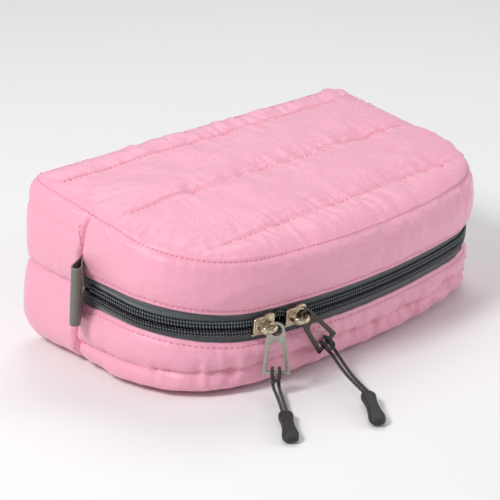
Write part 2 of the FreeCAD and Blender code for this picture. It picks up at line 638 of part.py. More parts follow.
def cord_grip(side, start, heading, droop):
    """A flat rubber grip with a shoulder, a waist and a flared tip, which lies on the floor at its tip."""
    stations = [  # place along the grip, width and thickness, each as a share of the grip's own
        (0.0, "sizes.grip_width*0.72", 0.8),
        (0.1, "sizes.grip_width", 1.0),
        (0.45, "sizes.grip_waist", 0.9),
        (0.8, "sizes.grip_tip", 0.98),
        (1.0, "sizes.grip_tip*0.66", 0.7),
    ]
    frame = FreeCAD.Placement(start, FreeCAD.Rotation(Z_AXIS, heading) * FreeCAD.Rotation(V(0, 1, 0), droop))
    sections = []
    for k, (share, width, thick) in enumerate(stations):
        oval = doc.addObject("Part::Ellipse", f"grip_{side}_{k}")
        bind(oval, MajorRadius=f"{width}/2", MinorRadius=f"sizes.grip_thick*{thick}/2")
        along = FreeCAD.Placement(V(share * size["grip_length"], 0, 0), FreeCAD.Rotation(V(1, 1, 1), 120))
        oval.Placement = frame * along
        sections.append(oval)
    loft = doc.addObject("Part::Loft", f"grip_{side}")
    loft.Sections = sections
    loft.Solid = True
    part(loft, f"cord_grip_{side}")


panels()
walls()
zip_fastener()
bindings()
mesh_pocket()
cable_loops()
zip_end_tab("left", -1)
zip_end_tab("right", 1)
slider("left", front_placement(left_slider_turn()))
slider("right", front_placement(RIGHT_SLIDER_TURN))
GRIPS = {"left": (V(-78.6, -83.7, 2.3), 229.3, 0.0), "right": (V(-43.1, -98.4, 4.3), 232.5, 4.6)}
for hand, where in pull_placements().items():
    pull_tab(hand, where)
    pull_cord(hand, where)
    cord_grip(hand, *GRIPS[hand])
doc.recompute()

for obj in doc.Objects:
    if "Invalid" in obj.State or "Error" in obj.State:
        raise RuntimeError(f"{obj.Name} failed: {obj.State}")
os.makedirs("parts", exist_ok=True)
for obj in parts:
    if obj.Shape.isNull() or not obj.Shape.isValid() or not obj.Shape.Solids:
        raise RuntimeError(f"{obj.Label} has no valid shape")
    obj.Shape.exportStep(os.path.join("parts", f"{obj.Label}.step"))
print(len(parts), "sub-parts")
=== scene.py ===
import math
from contextlib import contextmanager

import bmesh
import bpy
import numpy as np
from mathutils import Matrix, Vector
from mathutils.bvhtree import BVHTree

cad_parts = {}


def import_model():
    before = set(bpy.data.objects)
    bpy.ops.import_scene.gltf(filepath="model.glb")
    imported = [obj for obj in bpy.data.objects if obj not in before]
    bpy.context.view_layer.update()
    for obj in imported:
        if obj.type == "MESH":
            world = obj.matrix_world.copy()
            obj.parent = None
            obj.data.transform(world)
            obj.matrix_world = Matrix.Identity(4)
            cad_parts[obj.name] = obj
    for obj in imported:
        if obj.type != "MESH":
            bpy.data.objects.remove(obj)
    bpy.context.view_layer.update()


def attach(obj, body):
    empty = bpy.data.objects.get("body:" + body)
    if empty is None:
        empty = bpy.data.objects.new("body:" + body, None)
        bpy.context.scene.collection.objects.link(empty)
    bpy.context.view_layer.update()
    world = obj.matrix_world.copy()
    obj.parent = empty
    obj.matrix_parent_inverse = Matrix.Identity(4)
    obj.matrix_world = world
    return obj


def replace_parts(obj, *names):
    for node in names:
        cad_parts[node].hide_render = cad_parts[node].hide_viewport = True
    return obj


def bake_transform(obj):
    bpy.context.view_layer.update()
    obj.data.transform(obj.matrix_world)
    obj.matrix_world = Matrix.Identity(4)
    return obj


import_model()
MM = 0.001  # sizes below are in millimetres, unless they say otherwise
LENS = 122.1192  # on a sensor 36 mm wide
CAMERA_AT = (-547.8, -520.6, 321.0)
CAMERA_TO = (89.5, 100.7, -19.7)

# ---- camera, floor and light


def camera():
    """The photograph's viewing angle and framing."""
    data = bpy.data.cameras.new("camera")
    data.lens = LENS
    data.sensor_width = 36
    data.clip_start, data.clip_end = 0.05, 20
    obj = bpy.data.objects.new("camera", data)
    bpy.context.scene.collection.objects.link(obj)
    obj.location = Vector(CAMERA_AT) * MM
    target = Vector(CAMERA_TO) * MM
    obj.rotation_euler = (target - obj.location).to_track_quat("-Z", "Y").to_euler()
    bpy.context.scene.camera = obj


camera()
bpy.context.scene.view_settings.view_transform = "Standard"


def area_light(name, place, size, power, color=(1, 1, 1)):
    """A round soft light, its place in metres, aimed at the pouch's middle."""
    data = bpy.data.lights.new(name, "AREA")
    data.shape = "DISK"
    data.size, data.energy, data.color = size, power, color
    obj = bpy.data.objects.new(name, data)
    bpy.context.scene.collection.objects.link(obj)
    obj.location = Vector(place)
    aim = Vector((0, 0, 0.04)) - obj.location
    obj.rotation_euler = aim.to_track_quat("-Z", "Y").to_euler()


def world(color, strength):
    w = bpy.data.worlds.new("studio")
    bpy.context.scene.world = w
    w.use_nodes = True
    back = w.node_tree.nodes["Background"]
    back.inputs["Color"].default_value = (*color, 1)
    back.inputs["Strength"].default_value = strength


# ---- materials


SOCKETS = {
    "base": "Base Color",
    "rough": "Roughness",
    "metal": "Metallic",
    "alpha": "Alpha",
    "sheen": "Sheen Weight",
    "sheen_rough": "Sheen Roughness",
    "specular": "Specular IOR Level",
}


class Graph:
    """A small helper that adds and links shader nodes."""

    def __init__(self, name):
        self.material = bpy.data.materials.new(name)
        self.material.use_nodes = True
        self.tree = self.material.node_tree
        self.shader = self.tree.nodes["Principled BSDF"]

    def feed(self, socket, value):
        """Links another node's output, or sets the number."""
        if isinstance(value, bpy.types.NodeSocket):
            self.tree.links.new(value, socket)
        else:
            socket.default_value = value

    def node(self, kind, inputs=None, **settings):
        n = self.tree.nodes.new("ShaderNode" + kind)
        for key, value in settings.items():
            setattr(n, key, value)
        for key, value in (inputs or {}).items():
            self.feed(n.inputs[key], value)
        return n

    def math(self, operation, a, b=0.0):
        return self.node("Math", {0: a, 1: b}, operation=operation).outputs[0]

    def times(self, a, b):
        return self.math("MULTIPLY", a, b)

    def plus(self, a, b):
        return self.math("ADD", a, b)

    def ribs(self, along, pitch):
        """A sine wave of this pitch."""
        return self.math("SINE", self.times(along, 2 * math.pi / pitch))

    def mix(self, share, one, two):
        return self.node("Mix", {0: share, 6: (*one, 1), 7: (*two, 1)}, data_type="RGBA").outputs[2]

    def noise(self, vector, scale, detail=3.0, rough=0.5):
        inputs = {"Vector": vector, "Scale": scale, "Detail": detail, "Roughness": rough}
        return self.node("TexNoise", inputs).outputs["Fac"]

    def scaled(self, vector, by):
        return self.node("Mapping", {"Vector": vector, "Scale": by}).outputs["Vector"]

    def set(self, **values):
        for key, value in values.items():
            if key == "base" and isinstance(value, tuple):
                value = (*value, 1)
            self.feed(self.shader.inputs[SOCKETS[key]], value)

    def bump(self, height, distance, strength=1.0):
        n = self.node("Bump", {"Height": height, "Distance": distance, "Strength": strength})
        self.tree.links.new(n.outputs[0], self.shader.inputs["Normal"])


def place_vector(g):
    return g.node("TexCoord").outputs["Object"]


def mapped(g):
    """The piece's own map, in millimetres, and its two parts."""
    uv = g.node("UVMap").outputs["UV"]
    x, y, _ = g.node("SeparateXYZ", {"Vector": uv}).outputs
    return uv, x, y


def nylon(name, color, deep):
    """Thin calendered nylon: a fine plain weave, small creases and a soft gloss."""
    g = Graph(name)
    uv, x, y = mapped(g)
    tone = g.noise(place_vector(g), 28.0, 3.0)
    crease = g.noise(g.scaled(uv, (0.06, 0.16, 1.0)), 1.0, 4.0, 0.62)
    fine = g.noise(g.scaled(uv, (0.55, 0.3, 1.0)), 1.0, 3.0, 0.55)
    weave = g.times(g.ribs(x, 0.34), g.ribs(y, 0.34))
    height = g.plus(g.plus(crease, g.times(fine, 0.34)), g.times(weave, 0.012))
    rough = g.plus(g.times(fine, 0.14), 0.29)
    g.set(base=g.mix(g.times(tone, 0.5), color, deep), rough=rough)
    g.set(sheen=0.25, sheen_rough=0.4, specular=0.42)
    g.bump(height, 0.0011, 0.75)
    return g.material


def woven(name, color, pale, pitch):
    """A plain ribbed weave in millimetres of the piece's own map."""
    g = Graph(name)
    uv, x, y = mapped(g)
    height = g.times(g.plus(g.ribs(x, pitch), g.ribs(y, pitch * 0.6)), 0.5)
    speck = g.noise(g.scaled(uv, (2.2, 2.2, 1.0)), 1.0, 2.0)
    share = g.times(g.plus(height, 1.0), g.times(speck, 0.9))
    g.set(base=g.mix(share, color, pale), rough=0.8, sheen=0.3, sheen_rough=0.5)
    g.bump(height, 0.00012)
    return g.material


def thread(name, color, pale):
    """Polyester sewing thread: a soft shine and a fine twist."""
    g = Graph(name)
    twist = g.noise(place_vector(g), 1800.0, 2.0)
    g.set(base=g.mix(twist, color, pale), rough=0.5, sheen=0.3, sheen_rough=0.5)
    g.bump(twist, 0.00003)
    return g.material


def herringbone(name, dark, pale):
    """Zip tape: bands of slanted ribs, each band slanting the other way."""
    g = Graph(name)
    uv, x, y = mapped(g)
    slant = g.ribs(g.plus(x, g.math("PINGPONG", y, 1.3)), 0.62)
    height = g.plus(g.times(slant, 0.5), g.times(g.ribs(y, 1.3), 0.12))
    speck = g.noise(g.scaled(uv, (1.2, 1.2, 1.0)), 1.0, 3.0)
    share = g.times(g.plus(g.times(slant, 0.5), 0.55), g.plus(speck, 0.15))
    g.set(base=g.mix(share, dark, pale), rough=0.66, sheen=0.35, sheen_rough=0.45)
    g.bump(height, 0.00016)
    return g.material


def coil_material(name):
    """Nylon coil, crossed by the two pale lock-stitch threads that sew it to the tape."""
    g = Graph(name)
    _, _, y = mapped(g)
    one, two = (g.math("LESS_THAN", g.math("ABSOLUTE", g.plus(y, -at)), 0.22) for at in (1.55, 3.05))
    lines = g.math("MAXIMUM", one, two)
    wear = g.noise(place_vector(g), 900.0, 2.0)
    base = g.mix(lines, (0.016, 0.018, 0.022), (0.16, 0.19, 0.215))
    rough = g.plus(g.times(lines, 0.35), g.times(wear, 0.3))
    g.set(base=base, rough=rough, specular=0.5)
    g.bump(wear, 0.00006)
    return g.material


def metal(name, color, tint, rough):
    """Plated die-cast metal with slight tarnish and fine pits."""
    g = Graph(name)
    at = place_vector(g)
    cloud = g.noise(at, 420.0, 3.0)
    scratch = g.noise(g.scaled(at, (1.0, 1.0, 7.0)), 900.0, 2.0)
    g.set(base=g.mix(cloud, color, tint), metal=1.0)
    g.set(rough=g.plus(g.times(scratch, 0.16), rough - 0.08))
    g.bump(scratch, 0.00005)
    return g.material


def rubber(name, color):
    """Matt moulded rubber with a fine grain."""
    g = Graph(name)
    at = place_vector(g)
    grain = g.noise(at, 2600.0, 2.0)
    cloud = g.noise(at, 150.0, 2.0)
    pale = tuple(c * 1.5 for c in color)
    g.set(base=g.mix(cloud, color, pale), rough=g.plus(g.times(grain, 0.2), 0.48))
    g.bump(grain, 0.00004)
    return g.material


def braid(name, color):
    """A braided cord: crossed bands round the line."""
    g = Graph(name)
    at = place_vector(g)
    bands = []
    for vector in (at, g.scaled(at, (-1.0, 1.0, 1.0))):
        inputs = {"Vector": vector, "Scale": 420.0, "Distortion": 1.0}
        bands.append(g.node("TexWave", inputs, bands_direction="DIAGONAL").outputs["Fac"])
    height = g.times(*bands)
    pale = tuple(c * 2.2 for c in color)
    g.set(base=g.mix(height, color, pale), rough=0.82, sheen=0.3, sheen_rough=0.5)
    g.bump(height, 0.00018)
    return g.material


def satin(name, color, pale):
    """Satin ribbon: fine lengthwise ribs and a directional shine."""
    g = Graph(name)
    uv, _, y = mapped(g)
    cloud = g.noise(g.scaled(uv, (0.25, 0.9, 1.0)), 1.0, 3.0)
    g.set(base=g.mix(cloud, color, pale), rough=0.36, specular=0.6, sheen=0.3, sheen_rough=0.3)
    g.bump(g.ribs(y, 0.45), 0.00005)
    return g.material


def mesh_material(name):
    """Open mesh: small round holes in a fine net."""
    g = Graph(name)
    _, x, y = mapped(g)
    weave = g.times(g.ribs(x, 2.0), g.ribs(y, 2.0))
    hole = g.math("GREATER_THAN", weave, 0.25)
    g.set(base=(0.02, 0.02, 0.022), rough=0.7, alpha=g.math("SUBTRACT", 1.0, hole))
    g.bump(weave, 0.00012)
    return g.material


PINK = nylon("pink_nylon", (0.905, 0.415, 0.545), (0.875, 0.370, 0.505))
THREAD = thread("pink_thread", (0.80, 0.235, 0.385), (0.86, 0.32, 0.47))
PALE_THREAD = thread("pale_thread", (0.87, 0.36, 0.49), (0.90, 0.42, 0.55))
LINING = nylon("lining_nylon", (0.060, 0.064, 0.072), (0.045, 0.048, 0.056))
TAPE = herringbone("zip_tape", (0.050, 0.060, 0.068), (0.150, 0.170, 0.185))
COIL = coil_material("zip_coil")
BINDING = woven("grosgrain", (0.045, 0.048, 0.055), (0.10, 0.105, 0.12), 0.9)
ELASTIC = woven("elastic", (0.012, 0.012, 0.014), (0.05, 0.05, 0.055), 1.1)
RIBBON = satin("satin_ribbon", (0.120, 0.118, 0.094), (0.215, 0.212, 0.172))
NET = mesh_material("open_mesh")
GOLD = metal("light_gold", (0.70, 0.62, 0.46), (0.46, 0.39, 0.27), 0.24)
NICKEL = metal("nickel", (0.47, 0.455, 0.39), (0.39, 0.375, 0.31), 0.27)
DARK_NICKEL = metal("dark_nickel", (0.105, 0.098, 0.085), (0.05, 0.046, 0.04), 0.16)
STEEL = metal("spring_steel", (0.62, 0.62, 0.60), (0.5, 0.5, 0.49), 0.2)
CORD = braid("braided_cord", (0.020, 0.022, 0.022))
RUBBER = rubber("grip_rubber", (0.017, 0.020, 0.020))

# ---- the outline and the walls' surface

# The same sizes as the CAD's, in millimetres.
HALF, FRONT, BACK = 105.0, 60.0, 60.0
R_FRONT, R_CORNER, R_BACK = 400.0, 46.0, 10.0
ZIP_H, ZIP_K = 37.6, 0.10
TOP_H, TOP_K = 72.5, 0.181
SEAM_Y, SEAM_LEAN = 19.5, 0.14
FOLD_UP, FOLD_DOWN = 7.2, -7.2
STITCH_IN = 1.5  # from the folded edge to the stitches
QUILT_UP = 10.5  # the lower walls' quilting line, above the bottom seam
QUILT_Y = (35.5, -3.0, -44.0)  # the top's quilting lines
QUILT_BACK = 10.0  # the back's quilting line, below the top seam
SEAM_UP = 1.9  # the bottom seam, over the floor
BACK_PART = 260.0  # about how much of the girth lies behind the side seams
TILT = math.atan(ZIP_K)
SIN, COS = math.sin(TILT), math.cos(TILT)
CORNER_X = HALF - R_CORNER
CORNER_V = R_FRONT - FRONT - math.sqrt((R_FRONT - R_CORNER) ** 2 - CORNER_X**2)
BOW = math.atan2(CORNER_X, R_FRONT - FRONT - CORNER_V)


def dense_outline():
    """The outline clockwise from the back's middle, every half millimetre, with the direction outwards."""
    points, turns = [], []

    def line(a, b, turn):
        n = max(2, int(math.dist(a, b) / 0.5))
        for t in np.arange(n) / n:
            points.append((a[0] + (b[0] - a[0]) * t, a[1] + (b[1] - a[1]) * t))
            turns.append(turn)

    def arc(x, y, r, start, end):
        n = max(8, int(abs(end - start) * r / 0.5))
        for t in np.arange(n) / n:
            a = start + (end - start) * t
            points.append((x + r * math.cos(a), y + r * math.sin(a)))
            turns.append(a)

    q = math.pi / 2
    w, b = HALF, BACK
    line((0, b), (w - R_BACK, b), q)
    arc(w - R_BACK, b - R_BACK, R_BACK, q, 0)
    line((w, b - R_BACK), (w, CORNER_V), 0)
    arc(CORNER_X, CORNER_V, R_CORNER, 0, BOW - q)
    arc(0, R_FRONT - FRONT, R_FRONT, BOW - q, -BOW - q)
    arc(-CORNER_X, CORNER_V, R_CORNER, -BOW - q, -2 * q)
    line((-w, CORNER_V), (-w, b - R_BACK), -2 * q)
    arc(-w + R_BACK, b - R_BACK, R_BACK, -2 * q, -3 * q)
    line((-w + R_BACK, b), (0, b), -3 * q)
    points.append((0, b))
    turns.append(-3 * q)
    p = np.array(points)
    s = np.r_[0, np.cumsum(np.hypot(*np.diff(p, axis=0).T))]
    return s, p[:, 0], p[:, 1], np.array(turns)


OUT_S, OUT_U, OUT_V, OUT_TURN = dense_outline()
GIRTH = float(OUT_S[-1])


def outline(s):
    """Place and outward direction in the zip's plane, at distance s along the outline."""
    s = np.asarray(s, float)
    m = np.mod(s, GIRTH)
    turn = np.interp(m, OUT_S, OUT_TURN)
    return np.interp(m, OUT_S, OUT_U), np.interp(m, OUT_S, OUT_V), np.cos(turn), np.sin(turn)


def place(u, v, h):
    """From the zip's plane and the height over it, to the row frame, in millimetres."""
    return np.stack([u, -ZIP_K * ZIP_H + v * COS - h * SIN, ZIP_H + v * SIN + h * COS], -1)


def wall(s, h, off):
    u, v, nu, nv = outline(s)
    return place(u + nu * off, v + nv * off, h)


def h_top(s):
    _, v, _, _ = outline(s)
    return (TOP_H + TOP_K * (v * COS - ZIP_K * ZIP_H) - ZIP_H - v * SIN) / (COS + TOP_K * SIN)


def h_low(s, z=SEAM_UP):
    _, v, _, _ = outline(s)
    return (z - ZIP_H - v * SIN) / COS


# The zip's line waves a little: places along the outline, and how far the line lies over its plane there.
# Chosen after measuring the zip's edges in the photograph, and guessed near both ends.
WAVE_AT = (100, 125, 160, 233, 300, 345, 383, 400, 415, 430, 452, 470, 500)
WAVE_BY = (0.0, -0.3, -1.2, -2.0, -2.0, -1.7, -0.8, 0.3, 1.1, 0.9, -0.5, -0.8, -0.8)
WAVE_S = np.arange(0.0, GIRTH, 1.0)
SOFTEN = np.exp(-((np.arange(-24, 25) / 9.0) ** 2))
WAVE_H = np.convolve(np.interp(WAVE_S, WAVE_AT, WAVE_BY), SOFTEN / SOFTEN.sum(), "same")


def wave(s):
    return np.interp(np.mod(s, GIRTH), WAVE_S, WAVE_H)


def zip_wave(s):
    """The coil and tapes follow that line too, but stay clear of the sliders' necks."""
    return np.minimum(wave(s), -0.4)


def h_seam(level, s):
    """The height of the top or the bottom seam over the zip's plane."""
    return h_top(s) if level == "top" else h_low(s)


def girth_steps(step):
    """Places all round the outline, about a step apart."""
    return np.linspace(0, GIRTH, int(GIRTH / step), endpoint=False)


def seam_s(h):
    """Where the right side seam crosses height h, along the outline."""
    v = (SEAM_Y - SEAM_LEAN * (ZIP_H + h * COS) + ZIP_K * ZIP_H + h * SIN) / (COS + SEAM_LEAN * SIN)
    return (HALF - R_BACK) + R_BACK * math.pi / 2 + (BACK - R_BACK) - v


def s_of_front(turn):
    """Distance along the outline at a turn, in degrees, on the bowed front; negative is to the left."""
    return GIRTH / 2 - math.radians(turn) * R_FRONT


LEFT_TURN = -math.degrees(BOW)
RIGHT_TURN = -7.1

# ---- smooth noise


class Noise:
    """Smooth value noise in two directions, the same on every run."""

    def __init__(self, seed):
        self.grid = np.random.default_rng(seed).uniform(-1, 1, (128, 128))

    def __call__(self, x, y):
        x, y = np.broadcast_arrays(np.asarray(x, float), np.asarray(y, float))
        i, j = np.floor(x).astype(int), np.floor(y).astype(int)
        fx, fy = x - i, y - j
        fx, fy = fx * fx * (3 - 2 * fx), fy * fy * (3 - 2 * fy)
        g = self.grid
        a, b = g[i % 128, j % 128], g[(i + 1) % 128, j % 128]
        c, d = g[i % 128, (j + 1) % 128], g[(i + 1) % 128, (j + 1) % 128]
        return (a * (1 - fx) + b * fx) * (1 - fy) + (c * (1 - fx) + d * fx) * fy


N1, N2, N3, N4 = Noise(3), Noise(8), Noise(15), Noise(21)


def ridge(n, x, y):
    """Sharp creases where the noise crosses zero."""
    return 1 - 2 * np.abs(n(x, y))


def bump_at(x, middle, width):
    return np.exp(-(((x - middle) / width) ** 2))


def pucker(s, d, reach, size):
    """Small gathers beside a line of stitching: s along it, d away from it."""
    folds = N1(s / 5.2, d / 18) + 0.7 * N2(s / 2.9, d / 10)
    strength = 0.8 + 1.3 * np.clip(N3(s / 26, 0.5) + 0.2, 0, 1)
    return size * folds * strength * np.exp(-np.abs(d) / reach)


def gathers(s, d, cell, reach, size):
    """Long sharp gathers that run away from a seam, s along it, in bunches of different length."""
    bunch = np.clip(0.55 + 0.9 * N3(s / 31, 2.5), 0, 1.3)
    length = reach * (0.45 + 0.75 * np.clip(0.5 + N2(s / 6.5, 7.5), 0, 1))
    lean = s + 0.22 * d * N4(s / 40, 3.5)
    fold = 1 - 2.2 * np.abs(N1(lean / cell, 11.5)) ** 0.8
    return size * bunch * fold * np.exp(-((np.abs(d) / length) ** 2))


# ---- meshes


def new_object(name, mesh, body, material):
    """A piece with its material, which rides on a body when one is given, and on none otherwise."""
    obj = bpy.data.objects.new(name, mesh)
    bpy.context.scene.collection.objects.link(obj)
    mesh.materials.append(material)
    if body:
        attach(obj, body)
    return obj


@contextmanager
def edited(mesh):
    """A mesh opened for edits, and written back."""
    bm = bmesh.new()
    bm.from_mesh(mesh)
    yield bm
    bm.to_mesh(mesh)
    bm.free()


def circle(count):
    """The cosines and sines of evenly spaced angles, from 0."""
    a = np.linspace(0, 2 * np.pi, count, endpoint=False)
    return np.cos(a), np.sin(a)


def squared(values, power):
    """A circle's cosines or sines, made squarer by a power under 1."""
    return np.sign(values) * np.abs(values) ** power


def smoothed(values):
    """A line of values, each drawn three times towards its neighbours."""
    for _ in range(3):
        values[1:-1] = (values[:-2] + values[1:-1] * 2 + values[2:]) / 4


def sheet_mesh(name, grid, uv, flip=False):
    """A smooth mesh from a grid of points in millimetres, shape (rows, columns, 3)."""
    rows, cols = grid.shape[:2]
    index = np.arange(rows * cols).reshape(rows, cols)
    a, b, c, d = index[:-1, :-1], index[:-1, 1:], index[1:, 1:], index[1:, :-1]
    quads = np.stack([a, b, c, d] if not flip else [a, d, c, b], -1).reshape(-1, 4)
    ua, ub, uc, ud = uv[:-1, :-1], uv[:-1, 1:], uv[1:, 1:], uv[1:, :-1]
    corners = np.stack([ua, ub, uc, ud] if not flip else [ua, ud, uc, ub], -2).reshape(-1, 2)
    mesh = bpy.data.meshes.new(name)
    mesh.from_pydata((grid.reshape(-1, 3) * MM).tolist(), [], quads.tolist())
    layer = mesh.uv_layers.new(name="UVMap")
    layer.data.foreach_set("uv", corners.astype(np.float32).ravel())
    mesh.polygons.foreach_set("use_smooth", [True] * len(mesh.polygons))
    mesh.validate()
    return mesh


def close_ring(grid, uv, name, flip=False):
    """A ring-shaped grid of points and its map, joined to itself."""
    grid = np.concatenate([grid, grid[:, :1]], 1)
    uv = np.concatenate([uv, uv[:, :1]], 1)
    mesh = sheet_mesh(name, grid, uv, flip=flip)
    with edited(mesh) as bm:
        bmesh.ops.remove_doubles(bm, verts=bm.verts, dist=1e-6)
    return mesh


def capped(name, grid, uv):
    """A closed form from rings of points, filled at both ends."""
    mesh = close_ring(grid, uv, name)
    with edited(mesh) as bm:
        bmesh.ops.holes_fill(bm, edges=[e for e in bm.edges if e.is_boundary], sides=0)
        bmesh.ops.recalc_face_normals(bm, faces=bm.faces)
        for f in bm.faces:
            f.smooth = True
    return mesh


def tube_faces(base, rings, around):
    """The faces of a capped tube whose points start at base: rings of so many points each."""
    faces = []
    for r in range(rings - 1):
        for q in range(around):
            a, b = base + r * around + q, base + r * around + (q + 1) % around
            faces.append((a, b, b + around, a + around))
    last = base + (rings - 1) * around
    return faces + [tuple(range(base, base + around))[::-1], tuple(range(last, last + around))]


# ---- the padded walls

STEP = 1.1


COILS_APART = 1.8  # how far each coil stands off where the zip is open widest
LINE_STEP = 0.8  # between the points of a stitching line


def open_share(s):
    """1 half way between the sliders, where the zip is open, and 0 where it is closed."""
    left, right = s_of_front(LEFT_TURN) - 4.5, s_of_front(RIGHT_TURN) + 4.0
    t = (s - right) / (left - right)
    return np.clip(np.sin(np.clip(t, 0, 1) * np.pi), 0, 1) ** 0.7


def tuck_depth(s):
    """How far the bottom seam draws in: hardly at the front, a lot at the back corners."""
    _, v, _, _ = outline(s)
    back = np.clip((v + 5) / 60, 0, 1)
    return 0.8 + 7.5 * back, 5 + 11 * back


def seam_base(s, h):
    """Where the fabric lies in a seam, the same for every piece that meets there."""
    size, reach = tuck_depth(s)
    up, down = h - h_low(s), h_top(s) - h
    return -1.7 - 0.7 * np.exp(-down / 6) - 0.6 * np.exp(-up / 6) - size * np.clip(1 - up / reach, 0, 1) ** 2


def pinned(s, h, off, d):
    """Draws a surface into a seam that is d away."""
    share = np.exp(-((np.abs(d) / 0.9) ** 1.4))
    return off + (seam_base(s, h) - off) * share


def upper_wall(s, t):
    """The wall above the zip: t is 0 at the fold over the tape and 1 at the top seam."""
    top, start = h_top(s), FOLD_UP + wave(s)
    h = start + (top - start) * t
    low, high = h - start, top - h
    off = 0.5 - 1.6 * t**2 + 2.5 * np.sin(np.pi * np.clip(t, 0, 1)) ** 0.75
    free = 1 - 0.8 * np.exp(-low / 5)
    off -= 0.55 * bump_at(low, STITCH_IN, 0.7)
    off += (0.9 * N1(s / 34, h / 26) + 0.35 * N2(s / 13, h / 9)) * free
    off += pucker(s, low, 6.0, 0.5) * (1 - np.exp(-low / 3)) + pucker(s + 400, high, 5.0, 0.7)
    right = np.clip((GIRTH / 2 + 45 - s) / 70, 0.25, 1)
    off += gathers(s + 60, high, 5.5, 16.0, 2.0) * right
    off += gathers(s + 800, low, 4.5, 8.0, 0.55) * (1 - np.exp(-low / 3))
    off += 0.35 * ridge(N4, s / 21 + h / 15, h / 12) * np.sin(np.pi * t)
    return h, pinned(s, h, off, high)


def lower_wall(s, t):
    """The wall below the zip: t is 0 at the fold over the tape and 1 at the bottom seam."""
    low_end, start = h_low(s), FOLD_DOWN + wave(s)
    h = start + (low_end - start) * t
    down, up = start - h, h - low_end
    above = np.clip((up - QUILT_UP) / np.maximum(start - low_end - QUILT_UP, 1), 0, 1)
    off = 0.4 + 2.3 * np.sin(np.pi * above) ** 0.8 * (up > QUILT_UP)
    roll = np.clip(up / QUILT_UP, 0, 1)
    off += (1.5 * np.sin(np.pi * roll) ** 0.8 - 0.3 * (1 - roll)) * (up <= QUILT_UP)
    free = 1 - 0.8 * np.exp(-down / 5)
    off -= 0.5 * bump_at(down, STITCH_IN, 0.7) + 0.9 * bump_at(up, QUILT_UP, 1.0)
    off += (0.6 * N1(s / 30 + 9, h / 20) + 0.3 * N2(s / 11, h / 8)) * free
    off += pucker(s + 90, down, 5.0, 0.45) * free
    off += pucker(s + 700, up - QUILT_UP, 6.0, 0.55) + pucker(s + 150, up, 5.0, 0.7)
    off += gathers(s + 300, down, 4.2, 12.0, 1.0) * (1 - np.exp(-down / 2.5))
    off += gathers(s + 520, up - QUILT_UP, 4.6, 8.0, 0.9)
    slant = np.clip((GIRTH / 2 + 20 - s) / 80, 0, 1) * np.exp(-((up - 9) / 9) ** 2)
    off += 1.6 * ridge(N2, (s - 1.1 * h) / 9, h / 17) * slant
    return h, pinned(s, h, off + side_tuck(s, up), up)


def side_tuck(s, up):
    size, reach = tuck_depth(s)
    return -size * np.clip(1 - up / reach, 0, 1) ** 2


def back_wall(s, t):
    """The back, from the bottom seam, t 0, to the top seam, t 1."""
    low, top = h_low(s), h_top(s)
    h = low + (top - low) * t
    up, down = h - low, top - h
    middle = 0.5 * (top - low)
    side = np.abs(up - middle) / middle
    off = 0.3 - 1.4 * t**4 + 2.7 * np.sqrt(np.clip(1 - (2 * side - 1) ** 2, 0, 1))
    off -= 0.9 * bump_at(up, middle, 1.6)
    off -= 0.7 * bump_at(down, QUILT_BACK, 1.4)
    off += 1.0 * N1(s / 36, h / 30) + 0.4 * N2(s / 14, h / 10)
    off += pucker(s + 40, up - middle, 6.0, 0.45)
    off += pucker(s + 300, down, 6.0, 0.6) + pucker(s, up, 6.0, 0.6)
    off += gathers(s + 20, up - middle, 5.0, 9.0, 0.8)
    off += gathers(s + 610, down, 5.0, 11.0, 0.85) + gathers(s + 90, up, 5.0, 9.0, 0.8)
    off = pinned(s, h, off + 0.35 * ridge(N4, s / 22, h / 14) + side_tuck(s, up), down)
    return h, pinned(s, h, off, up)


def wall_piece(rule, part, step=STEP, offset=None):
    """A grid of points over the front's or the back's part of a wall, from its first row to its last."""
    front = part == "front"
    tall = 27.0 if front else 63.0
    near = np.array([0, 0.4, 0.8, 1.15, 1.5, 1.85, 2.3, 3.0, 4.0])  # close rows by a fold or a seam
    middle_rows = np.linspace(4.0, tall - 4.0, int((tall - 8.0) / step))
    t = np.r_[near, middle_rows[1:-1], tall - near[::-1]] / tall
    count = int((GIRTH - BACK_PART if front else 300) / step)
    share = np.linspace(0, 1, count)
    right = seam_s(rule(np.full(len(t), GIRTH / 2 if front else 0.0), t)[0])
    for _ in range(3):  # the seam leans, so its place and its height are found in turns
        h_right, _ = rule(right, t)
        right = seam_s(h_right)
    start, end = (right, GIRTH - right) if front else (-right, right)
    s = start[:, None] + (end - start)[:, None] * share[None, :]
    tt = np.repeat(t[:, None], count, 1)
    h, off = rule(s, tt)
    edge = np.minimum(s - start[:, None], end[:, None] - s)
    off = pinned(s, h, off + pucker(h * 1.3 + 50, edge, 5.0, 0.5), edge)
    if offset is not None:
        off = offset(off)
    return wall(s, h, off), np.stack([s, h], -1), s, h, off


def lip(s, h0, off0, direction):
    """The folded edge of the shell, rolled inwards onto the tape."""
    rows = []
    for k in range(1, 6):
        a = k / 5 * math.pi / 2 * 1.7
        rows.append(wall(s, h0 + direction * 0.55 * math.sin(a), off0 - 0.65 * (1 - math.cos(a))))
    return np.array(rows)


def with_lip(grid, uv, s, h, off, direction):
    """Adds the rolled edge before the grid's first row."""
    edge = lip(s[0], h[0], off[0], direction)[::-1]
    rolled = h[0] + direction * np.arange(len(edge), 0, -1)[:, None] * 0.4
    extra = np.stack([np.repeat(s[:1], len(edge), 0), rolled], -1)
    return np.concatenate([edge, grid]), np.concatenate([extra, uv])


grid, uv, s, h, off = wall_piece(upper_wall, "front")
grid, uv = with_lip(grid, uv, s, h, off, -1)
upper = new_object("upper_wall", sheet_mesh("upper_wall", grid, uv), "lid", PINK)
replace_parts(upper, "upper_gusset_shell", "upper_gusset_wadding")

